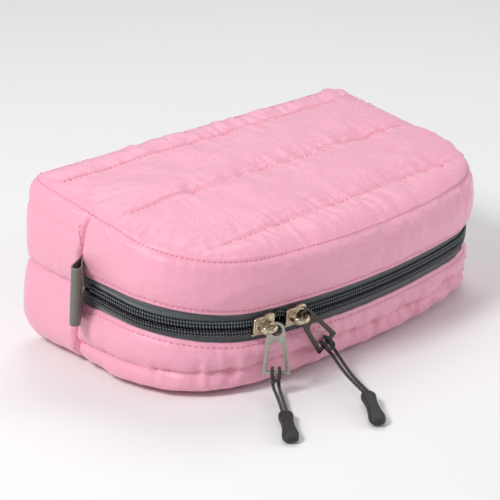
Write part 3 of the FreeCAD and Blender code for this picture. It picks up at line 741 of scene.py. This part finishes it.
grid, uv, s, h, off = wall_piece(lower_wall, "front")
grid, uv = with_lip(grid, uv, s, h, off, 1)
lower = new_object("lower_wall", sheet_mesh("lower_wall", grid, uv, flip=True), "base", PINK)
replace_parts(lower, "lower_gusset_shell", "lower_gusset_wadding")

grid, uv, s, h, off = wall_piece(back_wall, "back")
back = new_object("back_wall", sheet_mesh("back_wall", grid, uv), None, PINK)
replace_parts(back, "back_lower_shell", "back_upper_shell", "back_lower_wadding", "back_upper_wadding")


def fold(piece):
    """A piece at the back, below and above the zip's plane: its placement is baked into its mesh."""
    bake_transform(piece)


fold(back)

# ---- the top and bottom panels


def inwards(edge, t):
    """Rings from a panel's edge to its long middle, and how far in each point lies."""
    spine = np.clip(edge[:, 0], -48, 48)
    x, y = edge[:, 0] * (1 - t) + spine * t, edge[:, 1] * (1 - t)
    return x, y, t * np.hypot(edge[:, 0] - spine, edge[:, 1])


def panel_grid(level, rings):
    """A panel's rings, closer together at the seam."""
    s = girth_steps(STEP)
    h = h_seam(level, s)
    edge = wall(s, h, seam_base(s, h))
    return s, edge, *inwards(edge, np.linspace(0, 1, rings)[:, None] ** 1.35)


def top_height(s, x, y, d):
    """The lid's crown with its quilting lines and gathers, over the plane of the CAD's top."""
    z = 3.6 * (1 - np.exp(-d / 4.5)) + 1.2 * (1 - np.exp(-d / 22))
    for k, line in enumerate(QUILT_Y):
        middle = line + 0.7 * N2(x / 40, k)
        gap = y - middle
        fade = 1 - np.exp(-d / 7)
        z -= (1.1 * bump_at(gap, 0, 0.9) + 1.5 * bump_at(gap, 0, 6.0)) * fade
        z += pucker(x + 210 * k, gap, 6.0, 0.6) * fade
        z += gathers(x + 150 * k + 500, gap, 4.6, 8.5, 0.85) * fade
    z += 0.9 * N1(x / 36, y / 30) + 0.45 * N3(x / 15, y / 12)
    z += 0.35 * ridge(N4, x / 26 + y / 40, y / 13)
    z += gathers(s + 60, d, 5.0, 13.0, 1.15) * (1 - np.exp(-d / 1.2))
    return z + pucker(s + 333, d, 6.0, 0.7) * (1 - np.exp(-d / 1.5))


s, edge, x, y, d = panel_grid("top", int(75 / STEP))
z = TOP_H + TOP_K * y + top_height(np.repeat(s[None], len(x), 0), x, y, d)
z[0] = edge[:, 2]
mesh = close_ring(np.stack([x, y, z], -1), np.stack([x, y], -1), "top_panel")
top = new_object("top_panel", mesh, "lid", PINK)
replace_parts(top, "top_panel_shell", "top_panel_wadding")

s, edge, x, y, d = panel_grid("bottom", int(40 / STEP))
z = 0.12 + 1.8 * np.exp(-d / 2.0) + 0.25 * (1 + N1(x / 20, y / 20)) * np.exp(-d / 12)
z[0] = edge[:, 2]
mesh = close_ring(np.stack([x, y, z], -1), np.stack([x, y], -1), "bottom_panel", flip=True)
bottom = new_object("bottom_panel", mesh, "base", PINK)
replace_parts(bottom, "bottom_panel_shell", "bottom_panel_wadding")

# ---- the pull cords and their grips: the same routes as the CAD's, in millimetres


def rotation(axis, angle):
    return Matrix.Rotation(math.radians(angle), 3, axis)


def front_frame(turn):
    """A slider's frame on the bowed front: its origin on the outline, and its axes."""
    a = math.radians(turn)
    v = R_FRONT - FRONT - R_FRONT * math.cos(a)
    origin = Vector(place(np.array(R_FRONT * math.sin(a)), np.array(v), np.array(0.0)))
    return origin, Matrix.Rotation(TILT, 3, "X") @ Matrix.Rotation(a, 3, "Z")


def crown_point(turn, x, out):
    """A point on a slider's crown, out from its outer face."""
    origin, axes = front_frame(turn)
    return origin + axes @ Vector((x, -PLATE_FACE - out, 0))


PLATE_FACE = 2.8  # a slider's outer face, from the zip's line
CROWN_R, CROWN_LEG = 3.6, 2.3  # the crown's arch, and its legs from the face
SHOULDER = math.radians(36)  # where the left pull's eye rests on the arch
LEFT_EYE = (CROWN_R * math.cos(SHOULDER), CROWN_LEG + CROWN_R * math.sin(SHOULDER))
PULLS = {
    "left": (crown_point(LEFT_TURN, *LEFT_EYE), rotation("Z", -45.7)),
    "right": (crown_point(RIGHT_TURN, CROWN_R, 1.3), rotation("Z", RIGHT_TURN) @ rotation("Y", -38.0)),
}
DROP = 21.0  # from a pull's eye to its bar
BAR = Vector((0, 0, -DROP))
HITCH = [(-1.2, 0.6, -7.0), (-1.5, 2.0, -2.4), (-1.5, 2.1, 2.0), (-1.6, -2.0, 2.1), (-1.7, -2.1, -2.9)]
STRANDS = {
    "left": [
        [(-69.6, -70.6, 2.7), (-74.3, -76.9, 2.4), (-79.1, -82.8, 2.3)],
        [(-68.0, -72.0, 2.7), (-72.8, -78.1, 2.4), (-77.6, -84.0, 2.3)],
    ],
    "right": [
        [(-33.2, -73.6, 6.4), (-36.8, -81.6, 5.0), (-40.2, -89.6, 4.5), (-43.6, -97.5, 4.3)],
        [(-31.4, -74.6, 7.0), (-35.1, -82.7, 5.1), (-38.6, -90.8, 4.5), (-42.1, -98.7, 4.3)],
    ],
}
GRIPS = {"left": ((-78.6, -83.7, 2.3), 229.3, 0.0), "right": ((-43.1, -98.4, 4.3), 232.5, 4.6)}
CORD_RADIUS = 0.75


def pull_cord(side):
    """A doubled cord, from the grip round the pull's bar and back, and its route's points."""
    origin, turn = PULLS[side]
    half = [origin + turn @ (Vector(p) + BAR) for p in HITCH]
    other = [origin + turn @ (Vector((-x, y, z)) + BAR) for x, y, z in reversed(HITCH)]
    first, second = ([Vector(p) for p in strand] for strand in STRANDS[side])
    points = list(reversed(first)) + half + other + second
    data = bpy.data.curves.new("cord_line_" + side, "CURVE")
    data.dimensions = "3D"
    spline = data.splines.new("NURBS")
    spline.points.add(len(points) - 1)
    for p, at in zip(spline.points, points):
        p.co = (*(at * MM), 1)
    spline.order_u = 3
    spline.use_endpoint_u = True
    spline.resolution_u = 12
    data.bevel_depth = CORD_RADIUS * MM
    data.bevel_resolution = 4
    data.use_fill_caps = True
    obj = new_object("cord_" + side, data, "cord_" + side, CORD)
    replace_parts(obj, "pull_cord_" + side)
    return obj, points


def grip(side):
    """A flat paddle with a short neck, a shoulder, a waist and a round tip, slightly dished on its faces."""
    start, heading, droop = GRIPS[side]
    turn = rotation("Z", heading) @ rotation("Y", droop)
    length, around = 25.0, 36
    place_at = [0, 0.012, 0.05, 0.10, 0.16, 0.3, 0.45, 0.65, 0.82, 0.93, 0.985, 1.0]
    width = [2.2, 4.3, 5.2, 6.4, 6.5, 5.6, 5.25, 6.0, 7.2, 6.5, 4.2, 1.2]
    thick = [1.6, 3.0, 3.5, 4.1, 4.3, 4.2, 4.1, 4.2, 4.2, 3.5, 2.2, 0.8]
    c, sn = circle(around)
    turns = np.linspace(0, 4 * np.pi, around, endpoint=False)
    grid, uv = [], []
    for share in (1 - np.cos(np.linspace(0, math.pi, 46))) / 2:
        w, k = np.interp(share, place_at, width) / 2, np.interp(share, place_at, thick) / 2
        along = np.full(around, share * length)
        ring = np.stack([along, w * squared(c, 0.62), k * squared(sn, 0.62)], -1)
        dish = np.exp(-((ring[:, 1] / 1.1) ** 2)) * bump_at(share, 0.5, 0.24)
        ring[:, 2] -= np.sign(ring[:, 2]) * 0.28 * dish
        grid.append(ring)
        uv.append(np.stack([along, turns], -1))
    world_grid = np.array(grid) @ np.array([list(r) for r in turn]).T + np.array(start)
    mesh = capped("grip_" + side, world_grid, np.array(uv))
    obj = new_object("grip_" + side, mesh, "cord_" + side, RUBBER)
    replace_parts(obj, "cord_grip_" + side)
    return obj


for side in ("left", "right"):
    line, points = pull_cord(side)
    paddle = grip(side)

# ---- the zip


def tape_piece(name, sign, body, node):
    """One zip tape, under the folded edge of the shell, with its edge at the coil."""
    n = int((GIRTH - BACK_PART) / 1.2)
    outer = (FOLD_UP if sign > 0 else -FOLD_DOWN) + 3.0
    levels = np.linspace(0.9, outer, 14)
    rows, uvs = [], []
    for face, order in ((-0.65, levels), (-1.45, levels[::-1])):
        for level in order:
            h = np.full(n, sign * level)
            right = float(seam_s(sign * level))
            s = np.linspace(right, GIRTH - right, n)
            shift = sign * COILS_APART * open_share(s) * np.exp(-level / 5)
            rows.append(wall(s, h + shift + zip_wave(s), np.full(n, face)))
            uvs.append(np.stack([s, h], -1))
    rows.append(rows[0])
    uvs.append(uvs[0])
    mesh = sheet_mesh(name, np.array(rows), np.array(uvs), flip=sign < 0)
    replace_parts(new_object(name, mesh, body, TAPE), node)


tape_piece("tape_upper", 1, "lid", "zip_tape_upper")
tape_piece("tape_lower", -1, "base", "zip_tape_lower")


def coil_piece(name, sign, body, node):
    """A row of coil turns: rounded bars across the zip, with wider heads at the middle."""
    pitch = 1.35
    start, end = float(seam_s(0)) + 4.0, GIRTH - float(seam_s(0)) - 4.0
    count = int((end - start) / pitch)
    verts, faces, uvs = [], [], []
    stations = [  # across the zip, height over the tape, half width along the zip, half thickness
        (0.15, -0.05, 0.25, 0.25),
        (0.2, 0.1, 0.52, 0.5),
        (0.75, 0.3, 0.60, 0.62),
        (1.3, 0.38, 0.50, 0.55),
        (2.2, 0.35, 0.46, 0.5),
        (3.0, 0.28, 0.46, 0.48),
        (3.5, 0.05, 0.42, 0.42),
        (3.75, -0.35, 0.3, 0.3),
    ]
    c, sn = circle(8)
    for k in range(count):
        s0 = start + (k + (0.5 if sign > 0 else 0.0)) * pitch
        shift = COILS_APART * float(open_share(s0))
        base = len(verts)
        for level, out, wide, thick in stations:
            ss = s0 + wide * c + 0.0875 * sign * (level - 1.8)  # each turn leans a little
            verts.extend(wall(ss, sign * (level + shift) + zip_wave(ss), out + thick * sn).tolist())
            uvs.extend([(float(q), level) for q in ss])
        faces += tube_faces(base, len(stations), len(c))
    mesh = bpy.data.meshes.new(name)
    mesh.from_pydata((np.array(verts) * MM).tolist(), [], faces)
    layer = mesh.uv_layers.new(name="UVMap")
    index = np.zeros(len(mesh.loops), int)
    mesh.loops.foreach_get("vertex_index", index)
    layer.data.foreach_set("uv", np.array(uvs, np.float32)[index].ravel())
    mesh.polygons.foreach_set("use_smooth", [True] * len(mesh.polygons))
    mesh.validate()
    if sign < 0:
        mesh.flip_normals()
    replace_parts(new_object(name, mesh, body, COIL), node)


coil_piece("coil_upper", 1, "lid", "zip_coil_upper")
coil_piece("coil_lower", -1, "base", "zip_coil_lower")


def stitches(name, body, piece, line, pitch=2.6, long=1.9, thick=0.27, rise=0.22, material=THREAD):
    """Short thread stitches along a line in millimetres, each laid on the piece's own surface."""
    corners = [v.co / MM for v in piece.data.vertices]
    tree = BVHTree.FromPolygons(corners, [tuple(f.vertices) for f in piece.data.polygons])
    run = np.r_[0, np.cumsum(np.linalg.norm(np.diff(line, axis=0), axis=1))]
    middle, ring, steps = Vector((0, 0, 36)), 6, 5
    verts, faces = [], []
    for k in range(int(run[-1] / pitch)):
        base, spine = len(verts), []
        for share in np.linspace(0, 1, steps):
            at = Vector([float(np.interp(k * pitch + long * share, run, line[:, i])) for i in range(3)])
            hit, normal, _, _ = tree.find_nearest(at)
            if normal.dot(hit - middle) < 0:
                normal = -normal
            spine.append((hit + normal * (rise * math.sin(math.pi * share) ** 0.5 - 0.06), normal, share))
        along = (spine[-1][0] - spine[0][0]).normalized()
        for at, normal, share in spine:
            side = along.cross(normal).normalized()
            radius = thick * (0.45 + 0.55 * math.sin(math.pi * min(max(share, 0.12), 0.88)))
            for q in range(ring):
                angle = 2 * math.pi * q / ring
                reach = side * radius * math.cos(angle) + normal * radius * math.sin(angle)
                verts.append((at + reach) * MM)
        faces += tube_faces(base, steps, ring)
    out = bpy.data.meshes.new(name)
    out.from_pydata(verts, [], faces)
    out.polygons.foreach_set("use_smooth", [True] * len(out.polygons))
    out.uv_layers.new(name="UVMap")
    with edited(out) as bm:
        bmesh.ops.recalc_face_normals(bm, faces=bm.faces)
    return new_object(name, out, body, material)


def along_front(level):
    """Places along the front and sides between the two side seams, at a height over the zip's plane."""
    edge = float(seam_s(level)) + 3.0
    return np.arange(edge, GIRTH - edge, LINE_STEP)


QUILTING = {"pitch": 3.0, "long": 1.5, "thick": 0.22, "rise": 0.12, "material": PALE_THREAD}
SEAMING = {"pitch": 2.3, "long": 1.8, "thick": 0.26, "rise": 0.3}

line_s = along_front(FOLD_UP)
stitches("topstitch_upper", "lid", upper, wall(line_s, FOLD_UP + STITCH_IN + wave(line_s), 0.5))
line_s = along_front(FOLD_DOWN)
stitches("topstitch_lower", "base", lower, wall(line_s, FOLD_DOWN - STITCH_IN + wave(line_s), 0.5))
line_s = along_front(-20)
stitches("quilting_lower", "base", lower, wall(line_s, h_low(line_s) + QUILT_UP, 0.5), **QUILTING)
line_s = np.arange(-float(seam_s(20)) + 3, float(seam_s(20)) - 3, LINE_STEP)
stitches("quilting_back_top", "lid", back, wall(line_s, h_top(line_s) - QUILT_BACK, 0.5), **QUILTING)
line_s = np.arange(0, GIRTH, LINE_STEP)
for name, body, piece, line_h in (
    ("seam_top", "lid", top, h_top(line_s)),
    ("seam_bottom", "base", bottom, h_low(line_s)),
):
    stitches(name, body, piece, wall(line_s, line_h, seam_base(line_s, line_h)), **SEAMING)
for k, level in enumerate(QUILT_Y):
    line_x = np.arange(-96.0, 96.0, LINE_STEP)
    line_y = level + 0.7 * N2(line_x / 40, k)
    inside_edge = np.abs(line_x) < (96 if k < 2 else 78)
    line = np.stack([line_x, line_y, TOP_H + TOP_K * line_y + 3.0], -1)[inside_edge]
    stitches(f"quilting_top_{k + 1}", "lid", top, line, **QUILTING)
for side, mirror in (("right", 1), ("left", -1)):
    for part, body, h_range in (("upper", "lid", (10, 32)), ("lower", "base", (-32, -10))):
        level = np.arange(*h_range, LINE_STEP)
        place_s = seam_s(level) - 2.4
        stitches(f"side_stitch_{side}_{part}", body, back, wall(mirror * place_s, level, 0.5))

# ---- ribbon loops at the zip's ends


def ribbon_loop(name, node, mirror):
    """A folded satin ribbon: two layers that meet at the seam and open into a small round fold."""
    fold_r, reach = 2.1, 10.5
    path = [(0.0, -0.55), (2.5, -0.75), (5.5, -1.35), (8.2, -1.95)]
    for a in np.linspace(-90, 90, 9):
        path.append((reach + fold_r * math.cos(math.radians(a)) - 0.2, fold_r * math.sin(math.radians(a))))
    path = np.array(path + [(x, -y) for x, y in path[3::-1]])
    run = np.r_[0, np.cumsum(np.hypot(*np.diff(path, axis=0).T))]
    t = np.linspace(0, run[-1], 60)
    px, py = np.interp(t, run, path[:, 0]), np.interp(t, run, path[:, 1])
    smoothed(px)
    smoothed(py)
    _, v0, _, _ = outline(float(seam_s(0.0)))
    turn = math.radians(-37.0 if mirror > 0 else 217.0)
    rows, uvs = [], []
    for level in np.linspace(-13.0, 15.0, 30):
        spread = py * (1 + 0.03 * math.sin((level + 13) / 28 * math.pi))
        u = mirror * (HALF + 0.9) + px * math.cos(turn) - spread * math.sin(turn)
        v = float(v0) + px * math.sin(turn) + spread * math.cos(turn)
        rows.append(place(u, v, np.full(len(px), level)))
        uvs.append(np.stack([t, np.full(len(t), level)], -1))
    mesh = sheet_mesh(name, np.array(rows), np.array(uvs))
    obj = new_object(name, mesh, "base", RIBBON)
    thick = obj.modifiers.new("thickness", "SOLIDIFY")
    thick.thickness, thick.offset = 0.7 * MM, 0.0
    bevel = obj.modifiers.new("edge", "BEVEL")
    bevel.width, bevel.segments, bevel.limit_method = 0.18 * MM, 2, "ANGLE"
    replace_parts(obj, node)


ribbon_loop("ribbon_loop_left", "zip_end_tab_left", -1)
ribbon_loop("ribbon_loop_right", "zip_end_tab_right", 1)

# ---- sliders and pull tabs


def plate_curve(name, outlines, thick, bevel, frame_matrix, body, material):
    """A flat plate with holes, from closed outlines in its own plane, with rounded edges."""
    data = bpy.data.curves.new(name, "CURVE")
    data.dimensions = "2D"
    data.fill_mode = "BOTH"
    data.extrude = max(thick / 2 - bevel, 0.02) * MM
    data.bevel_depth = bevel * MM
    data.bevel_resolution = 3
    data.offset = -bevel * MM
    for points in outlines:
        spline = data.splines.new("POLY")
        spline.points.add(len(points) - 1)
        for p, (x, y) in zip(spline.points, points):
            p.co = (x * MM, y * MM, 0, 1)
        spline.use_cyclic_u = True
    temp = bpy.data.objects.new(name + "_curve", data)
    bpy.context.scene.collection.objects.link(temp)
    bpy.context.view_layer.update()
    mesh = bpy.data.meshes.new_from_object(temp.evaluated_get(bpy.context.evaluated_depsgraph_get()))
    bpy.data.objects.remove(temp)
    mesh.name = name
    mesh.materials.clear()
    mesh.transform(frame_matrix)
    with edited(mesh) as bm:
        bmesh.ops.remove_doubles(bm, verts=bm.verts, dist=2e-6)
    mesh.shade_smooth()
    mesh.set_sharp_from_angle(angle=math.radians(38))
    return new_object(name, mesh, body, material)


def arc_points(x, y, r, start, end, n):
    a = np.radians(np.linspace(start, end, n))
    return [(x + r * math.cos(t), y + r * math.sin(t)) for t in a]


def rounded(points, radius):
    """A closed outline with its corners rounded, five points to each."""
    out = []
    for k, here in enumerate(points):
        p, q = Vector(points[k - 1]), Vector(points[(k + 1) % len(points)])
        c = Vector(here)
        a, b = (p - c).normalized(), (q - c).normalized()
        angle = a.angle(b)
        trim = min(radius / math.tan(angle / 2), (p - c).length * 0.45, (q - c).length * 0.45)
        start, end = c + a * trim, c + b * trim
        for t in np.linspace(0, 1, 5):
            m = start * (1 - t) ** 2 + c * 2 * t * (1 - t) + end * t**2
            out.append((m.x, m.y))
    return out


def pull_tab(side, material):
    """The A-shaped pull: an eye, a tall window and a bar for the cord."""
    origin, turn = PULLS[side]
    eye, rim, hang, foot = 2.6, 3.8, 0.9, 12.6
    outer = arc_points(0, -hang, rim, 0, 180, 22)
    bottom = -hang - DROP
    sides = [(-rim, -hang - 0.5), (-foot / 2, bottom), (foot / 2, bottom), (rim, -hang - 0.5)]
    outer += rounded(sides, 0.9)[5:15]
    hole = arc_points(0, -hang, eye, 0, 345, 26)
    head = -hang - 8.0
    sill = bottom + 1.8
    window = arc_points(0, head, 2.7, 0, 180, 16)
    window += rounded([(-2.7, head), (-4.0, sill), (4.0, sill), (2.7, head)], 0.6)[5:15]
    matrix = Matrix.Translation(origin * MM) @ turn.to_4x4() @ Matrix.Rotation(math.radians(90), 4, "X")
    outlines, body = [outer, hole, window], "pull_" + side
    obj = plate_curve(body, outlines, 1.0, 0.22, matrix, body, material)
    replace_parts(obj, "pull_tab_" + side)


def swept_bar(path, sections):
    """Rings along a path in a slider's frame, each with its half width along Z and half thickness."""
    path = np.array(path, float)
    tangent = np.gradient(path, axis=0)
    tangent /= np.linalg.norm(tangent, axis=1)[:, None]
    side = np.array([0, 0, 1.0])
    normal = np.cross(tangent, side)
    c, sn = circle(14)
    rows = []
    for p, n, (wide, thick) in zip(path, normal, sections):
        rows.append(p + np.outer(wide * squared(c, 0.8), side) + np.outer(thick * sn, n))
    return np.array(rows)


def mirrored(half):
    """A closed outline from its upper half."""
    return [(half[0][0], -half[0][1])] + half + [(x, -y) for x, y in half[:0:-1]]


# The plates of a slider: the first has broad shoulders at its front and a narrower tail.
PLATE = mirrored([(-5.5, 3.2), (-4.0, 4.1), (-0.5, 4.0), (1.5, 4.8), (4.2, 4.8), (5.5, 3.9)])
BOSS = mirrored([(-4.6, 2.2), (-3.2, 2.9), (1.8, 3.2), (4.5, 2.8)])
FLANGE = [(-5.5, -1.8), (-5.5, 0.2), (5.5, 0.2), (5.5, -1.8)]
NECK = [(2.6, -2.0), (2.6, 3.0), (5.4, 3.0), (5.4, -2.0)]
LEAF = mirrored([(-2.6, 0.75), (2.4, 0.75)])
UPRIGHT = Matrix.Rotation(math.radians(90), 4, "X")
LEVEL = Matrix.Identity(4)
SLIDER_PLATES = {  # outline, corner radius, thickness, edge radius, place, and how it stands
    "plate": (PLATE, 1.2, 1.5, 0.45, (0, -2.05, 0), UPRIGHT),
    "boss": (BOSS, 1.0, 0.7, 0.3, (0, -2.9, 0), UPRIGHT),
    "inner": (PLATE, 1.2, 1.2, 0.35, (0, 2.7, 0), UPRIGHT),
    "flange": (FLANGE, 0.3, 0.9, 0.2, (0, 0, -4.35), LEVEL),
    "neck": (NECK, 0.4, 1.0, 0.2, (0, 0, 0), LEVEL),
}


def slider_plate(name, body, matrix, material, slot, outline_points, radius, thick, edge, at, stand):
    place_it = matrix @ Matrix.Translation(Vector(at) * MM) @ stand
    return plate_curve(name, [rounded(outline_points, radius)], thick, edge, place_it, body, material)


def slider(side, turn):
    body = "slider_" + side
    origin, axes = front_frame(turn)
    matrix = Matrix.Translation(origin * MM) @ axes.to_4x4()
    for part, shape in SLIDER_PLATES.items():
        obj = slider_plate(f"slider_{part}_{side}", body, matrix, GOLD, "slider_metal", *shape)
        if part == "plate":
            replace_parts(obj, "slider_body_" + side)
    # The crown: a bridge with swollen shoulders, a waist at the middle and round feet.
    r, leg, base = CROWN_R, CROWN_LEG, PLATE_FACE
    a = np.radians(np.linspace(180, 0, 33))
    arch = [(r * math.cos(t), -(base + leg + r * math.sin(t)), 0) for t in a]
    left_leg = [(-r, -(base - 0.3 + leg * t), 0) for t in np.linspace(0, 0.95, 6)]
    right_leg = [(-x, y, z) for x, y, z in reversed(left_leg)]
    path = left_leg + arch + right_leg
    share = np.linspace(-1, 1, len(path))
    wide = 1.15 + 0.55 * bump_at(np.abs(share), 0.42, 0.16) + 0.5 * bump_at(np.abs(share), 1.0, 0.12)
    thick = 0.72 + 0.18 * bump_at(np.abs(share), 0.42, 0.2) + 0.12 * bump_at(share, 0, 0.1)
    rows = swept_bar(path, list(zip(wide, thick)))
    m = np.array([list(q) for q in matrix])
    world_rows = rows @ m[:3, :3].T + m[:3, 3] / MM
    mesh = capped("crown_" + side, world_rows, rows[..., :2])
    obj = new_object("crown_" + side, mesh, body, GOLD)
    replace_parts(obj, "slider_crown_" + side)
    spring = (LEAF, 0.5, 0.3, 0.08, (0, -(base + 0.28), 0), UPRIGHT)
    obj = slider_plate("spring_" + side, body, matrix, STEEL, "spring_steel", *spring)
    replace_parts(obj, "lock_spring_" + side)


slider("left", LEFT_TURN)
slider("right", RIGHT_TURN)
pull_tab("left", NICKEL)
pull_tab("right", DARK_NICKEL)

# ---- the inside


LINING_IN = 2.6  # the least from the outer nylon to the lining


def inside(off):
    """The lining's place, behind the wadding and always behind the outer nylon."""
    return np.minimum(-4.6 - 0.25 * np.clip(off, -2, 3), off - LINING_IN)


def lining_piece(name, rule, part, body, nodes, flip):
    grid, uv, _, _, _ = wall_piece(rule, part, 3.0, inside)
    obj = new_object(name, sheet_mesh(name, grid, uv, flip=flip), body, LINING)
    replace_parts(obj, *nodes)
    return obj


lining_piece("lining_upper", upper_wall, "front", "lid", ["upper_gusset_lining"], True)
lining_piece("lining_lower", lower_wall, "front", "base", ["lower_gusset_lining"], False)
fold(lining_piece("lining_back", back_wall, "back", None, ["back_lower_lining", "back_upper_lining"], True))


def inner_panel(name, level, body, node):
    s = girth_steps(3)
    h = h_top(s) - 4.0 if level == "top" else h_low(s, 4.0)
    edge = wall(s, h, seam_base(s, h) - LINING_IN)
    x, y, _ = inwards(edge, np.linspace(0, 1, 18)[:, None])
    flat, wavy = (TOP_H + TOP_K * y - 3.95, 0.2) if level == "top" else (4.25, 0.1)
    z = flat + wavy * N1(x / 16, y / 14)
    z[0] = edge[:, 2]
    mesh = close_ring(np.stack([x, y, z], -1), np.stack([x, y], -1), name, flip=level == "top")
    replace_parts(new_object(name, mesh, body, LINING), node)


inner_panel("lining_top", "top", "lid", "top_panel_lining")
inner_panel("lining_bottom", "bottom", "base", "bottom_panel_lining")

BINDING_SECTION = (  # from the seam towards the zip, and in from the wall
    (3.6, 3.0), (3.4, 3.6), (4.2, 4.1), (7.0, 4.4), (9.2, 4.4), (9.6, 3.8), (8.8, 3.2), (5.4, 2.9), (3.6, 3.0)
)


def seam_binding(name, level, body, node):
    """Grosgrain folded over the seam's raw edges, a flat band that lies on the lining."""
    s = girth_steps(3)
    far = 1 if level == "top" else -1
    seam = h_seam(level, s)
    base = seam_base(s, seam)
    rows, uvs = [], []
    for down, within in BINDING_SECTION:
        h = seam - far * down
        follow = np.minimum(seam_base(s, h), base + 0.55 * down)
        rows.append(wall(s, h, np.minimum(follow, -1.2) - within))
        uvs.append(np.stack([s, np.full(len(s), down * 1.5 + within)], -1))
    mesh = close_ring(np.array(rows), np.array(uvs), name, flip=level == "top")
    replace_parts(new_object(name, mesh, body, BINDING), node)


seam_binding("binding_top", "top", "lid", "top_seam_binding")
seam_binding("binding_bottom", "bottom", "base", "bottom_seam_binding")


def elastic_strip(name, rings, uvs, body, node):
    """A strip from rings of points along it, closed round and at both ends."""
    mesh = capped(name, np.array(rings), np.array(uvs))
    mesh.set_sharp_from_angle(angle=math.radians(50))
    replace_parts(new_object(name, mesh, body, ELASTIC), node)


def flat_ring(wide, thick):
    """A flattened oval section: across the strip, and out of its face."""
    c, sn = circle(28)
    return wide * squared(c, 0.25), thick * squared(sn, 0.55)


def cable_loops():
    """Elastic sewn down between three loops; each loop rises and leans a little in its own way."""
    span, foot, rise, floor_z = 20.0, 8.0, 12.2, 4.95
    bow = (span**2 + rise**2) / (2 * rise)
    path = []
    for x in np.arange(-76.6, 76.7, 0.8):
        k = round(x / (2 * span + foot))
        gap = x - k * (2 * span + foot)
        inside_loop = abs(gap) < span
        up = math.sqrt(bow**2 - gap**2) - (bow - rise) if inside_loop else 0.0
        path.append((x, floor_z + max(up, 0.0), 0.5 * N1(k * 3.1, 4.5) * max(up, 0) / rise))
    path = np.array(path)
    smoothed(path[:, 1])
    run = np.r_[0, np.cumsum(np.hypot(*np.diff(path[:, :2], axis=0).T))]
    slope = np.gradient(path[:, :2], axis=0)
    slope /= np.linalg.norm(slope, axis=1)[:, None]
    across, out = flat_ring(12.3, 0.55)
    rings, uvs = [], []
    for (x, z, lean), (tx, tz), at in zip(path, slope, run):
        lift = out + 0.05 * np.sin(across * 2.4)
        y = 25.5 + across * (1 - 0.012 * math.sin(at / 3.1)) + lean
        rings.append(np.stack([x - tz * lift, y, z + tx * lift], -1))
        uvs.append(np.stack([np.full(len(across), at), across], -1))
    elastic_strip("cable_loops", rings, uvs, "base", "elastic_cable_loops")


def mesh_level(y):
    return 67.95 + TOP_K * y


def mesh_pocket():
    """A flat net under the lid, sewn round its edge, with a gathered elastic hem at the front."""
    s = np.linspace(0, GIRTH, 260, endpoint=False)
    edge = wall(s, h_top(s) - 4.0, np.full(len(s), -13.2))
    x0, y0 = np.clip(edge[:, 0], -91.5, 91.5), np.clip(edge[:, 1], -25.0, 29.5)
    t = np.linspace(0, 1, 26)[:, None]
    x, y = x0 * (1 - t) + np.clip(x0, -60, 60) * t, y0 * (1 - t) + 3.0 * t
    held = np.clip((91.5 - np.abs(x)) / 25, 0, 1) * np.clip((29.5 - y) / 20, 0, 1)
    z = mesh_level(y) - (0.5 + 0.35 * N3(x / 22, y / 18)) * held
    mesh = close_ring(np.stack([x, y, z], -1), np.stack([x, y], -1), "mesh_pocket", flip=True)
    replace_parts(new_object("mesh_pocket", mesh, "lid", NET), "lid_mesh_pocket")
    across, out = flat_ring(4.3, 0.75)
    rings, uvs = [], []
    for at in np.arange(-91.0, 91.1, 0.7):
        gather = 0.16 * math.sin(at * 1.9 + 1.2 * math.sin(at / 7.0)) * (1 - (at / 95) ** 2)
        y = -25.5 + across + 0.25 * math.sin(at / 13.0)
        rings.append(np.stack([np.full(len(across), at), y, mesh_level(y) - 0.5 + out * (1 + gather)], -1))
        uvs.append(np.stack([np.full(len(across), at), across], -1))
    elastic_strip("pocket_hem", rings, uvs, "lid", "mesh_pocket_hem")


cable_loops()
mesh_pocket()

# ---- studio

bpy.ops.mesh.primitive_plane_add(size=8, location=(0, 0, 0))
floor = bpy.context.object
floor.name = "floor"
white = Graph("floor_white")
tone = white.noise(place_vector(white), 3.0, 2.0)
white.set(base=white.mix(tone, (0.85, 0.85, 0.855), (0.88, 0.88, 0.88)), rough=0.9)
floor.data.materials.append(white.material)
world((0.98, 0.985, 1.0), 0.38)
area_light("key", (-0.95, 0.05, 0.95), 0.40, 10.6, (1.0, 0.99, 0.97))
area_light("fill", (0.85, -0.75, 0.5), 0.6, 3.2)
area_light("rim", (0.5, 0.5, 1.2), 0.8, 5.0)
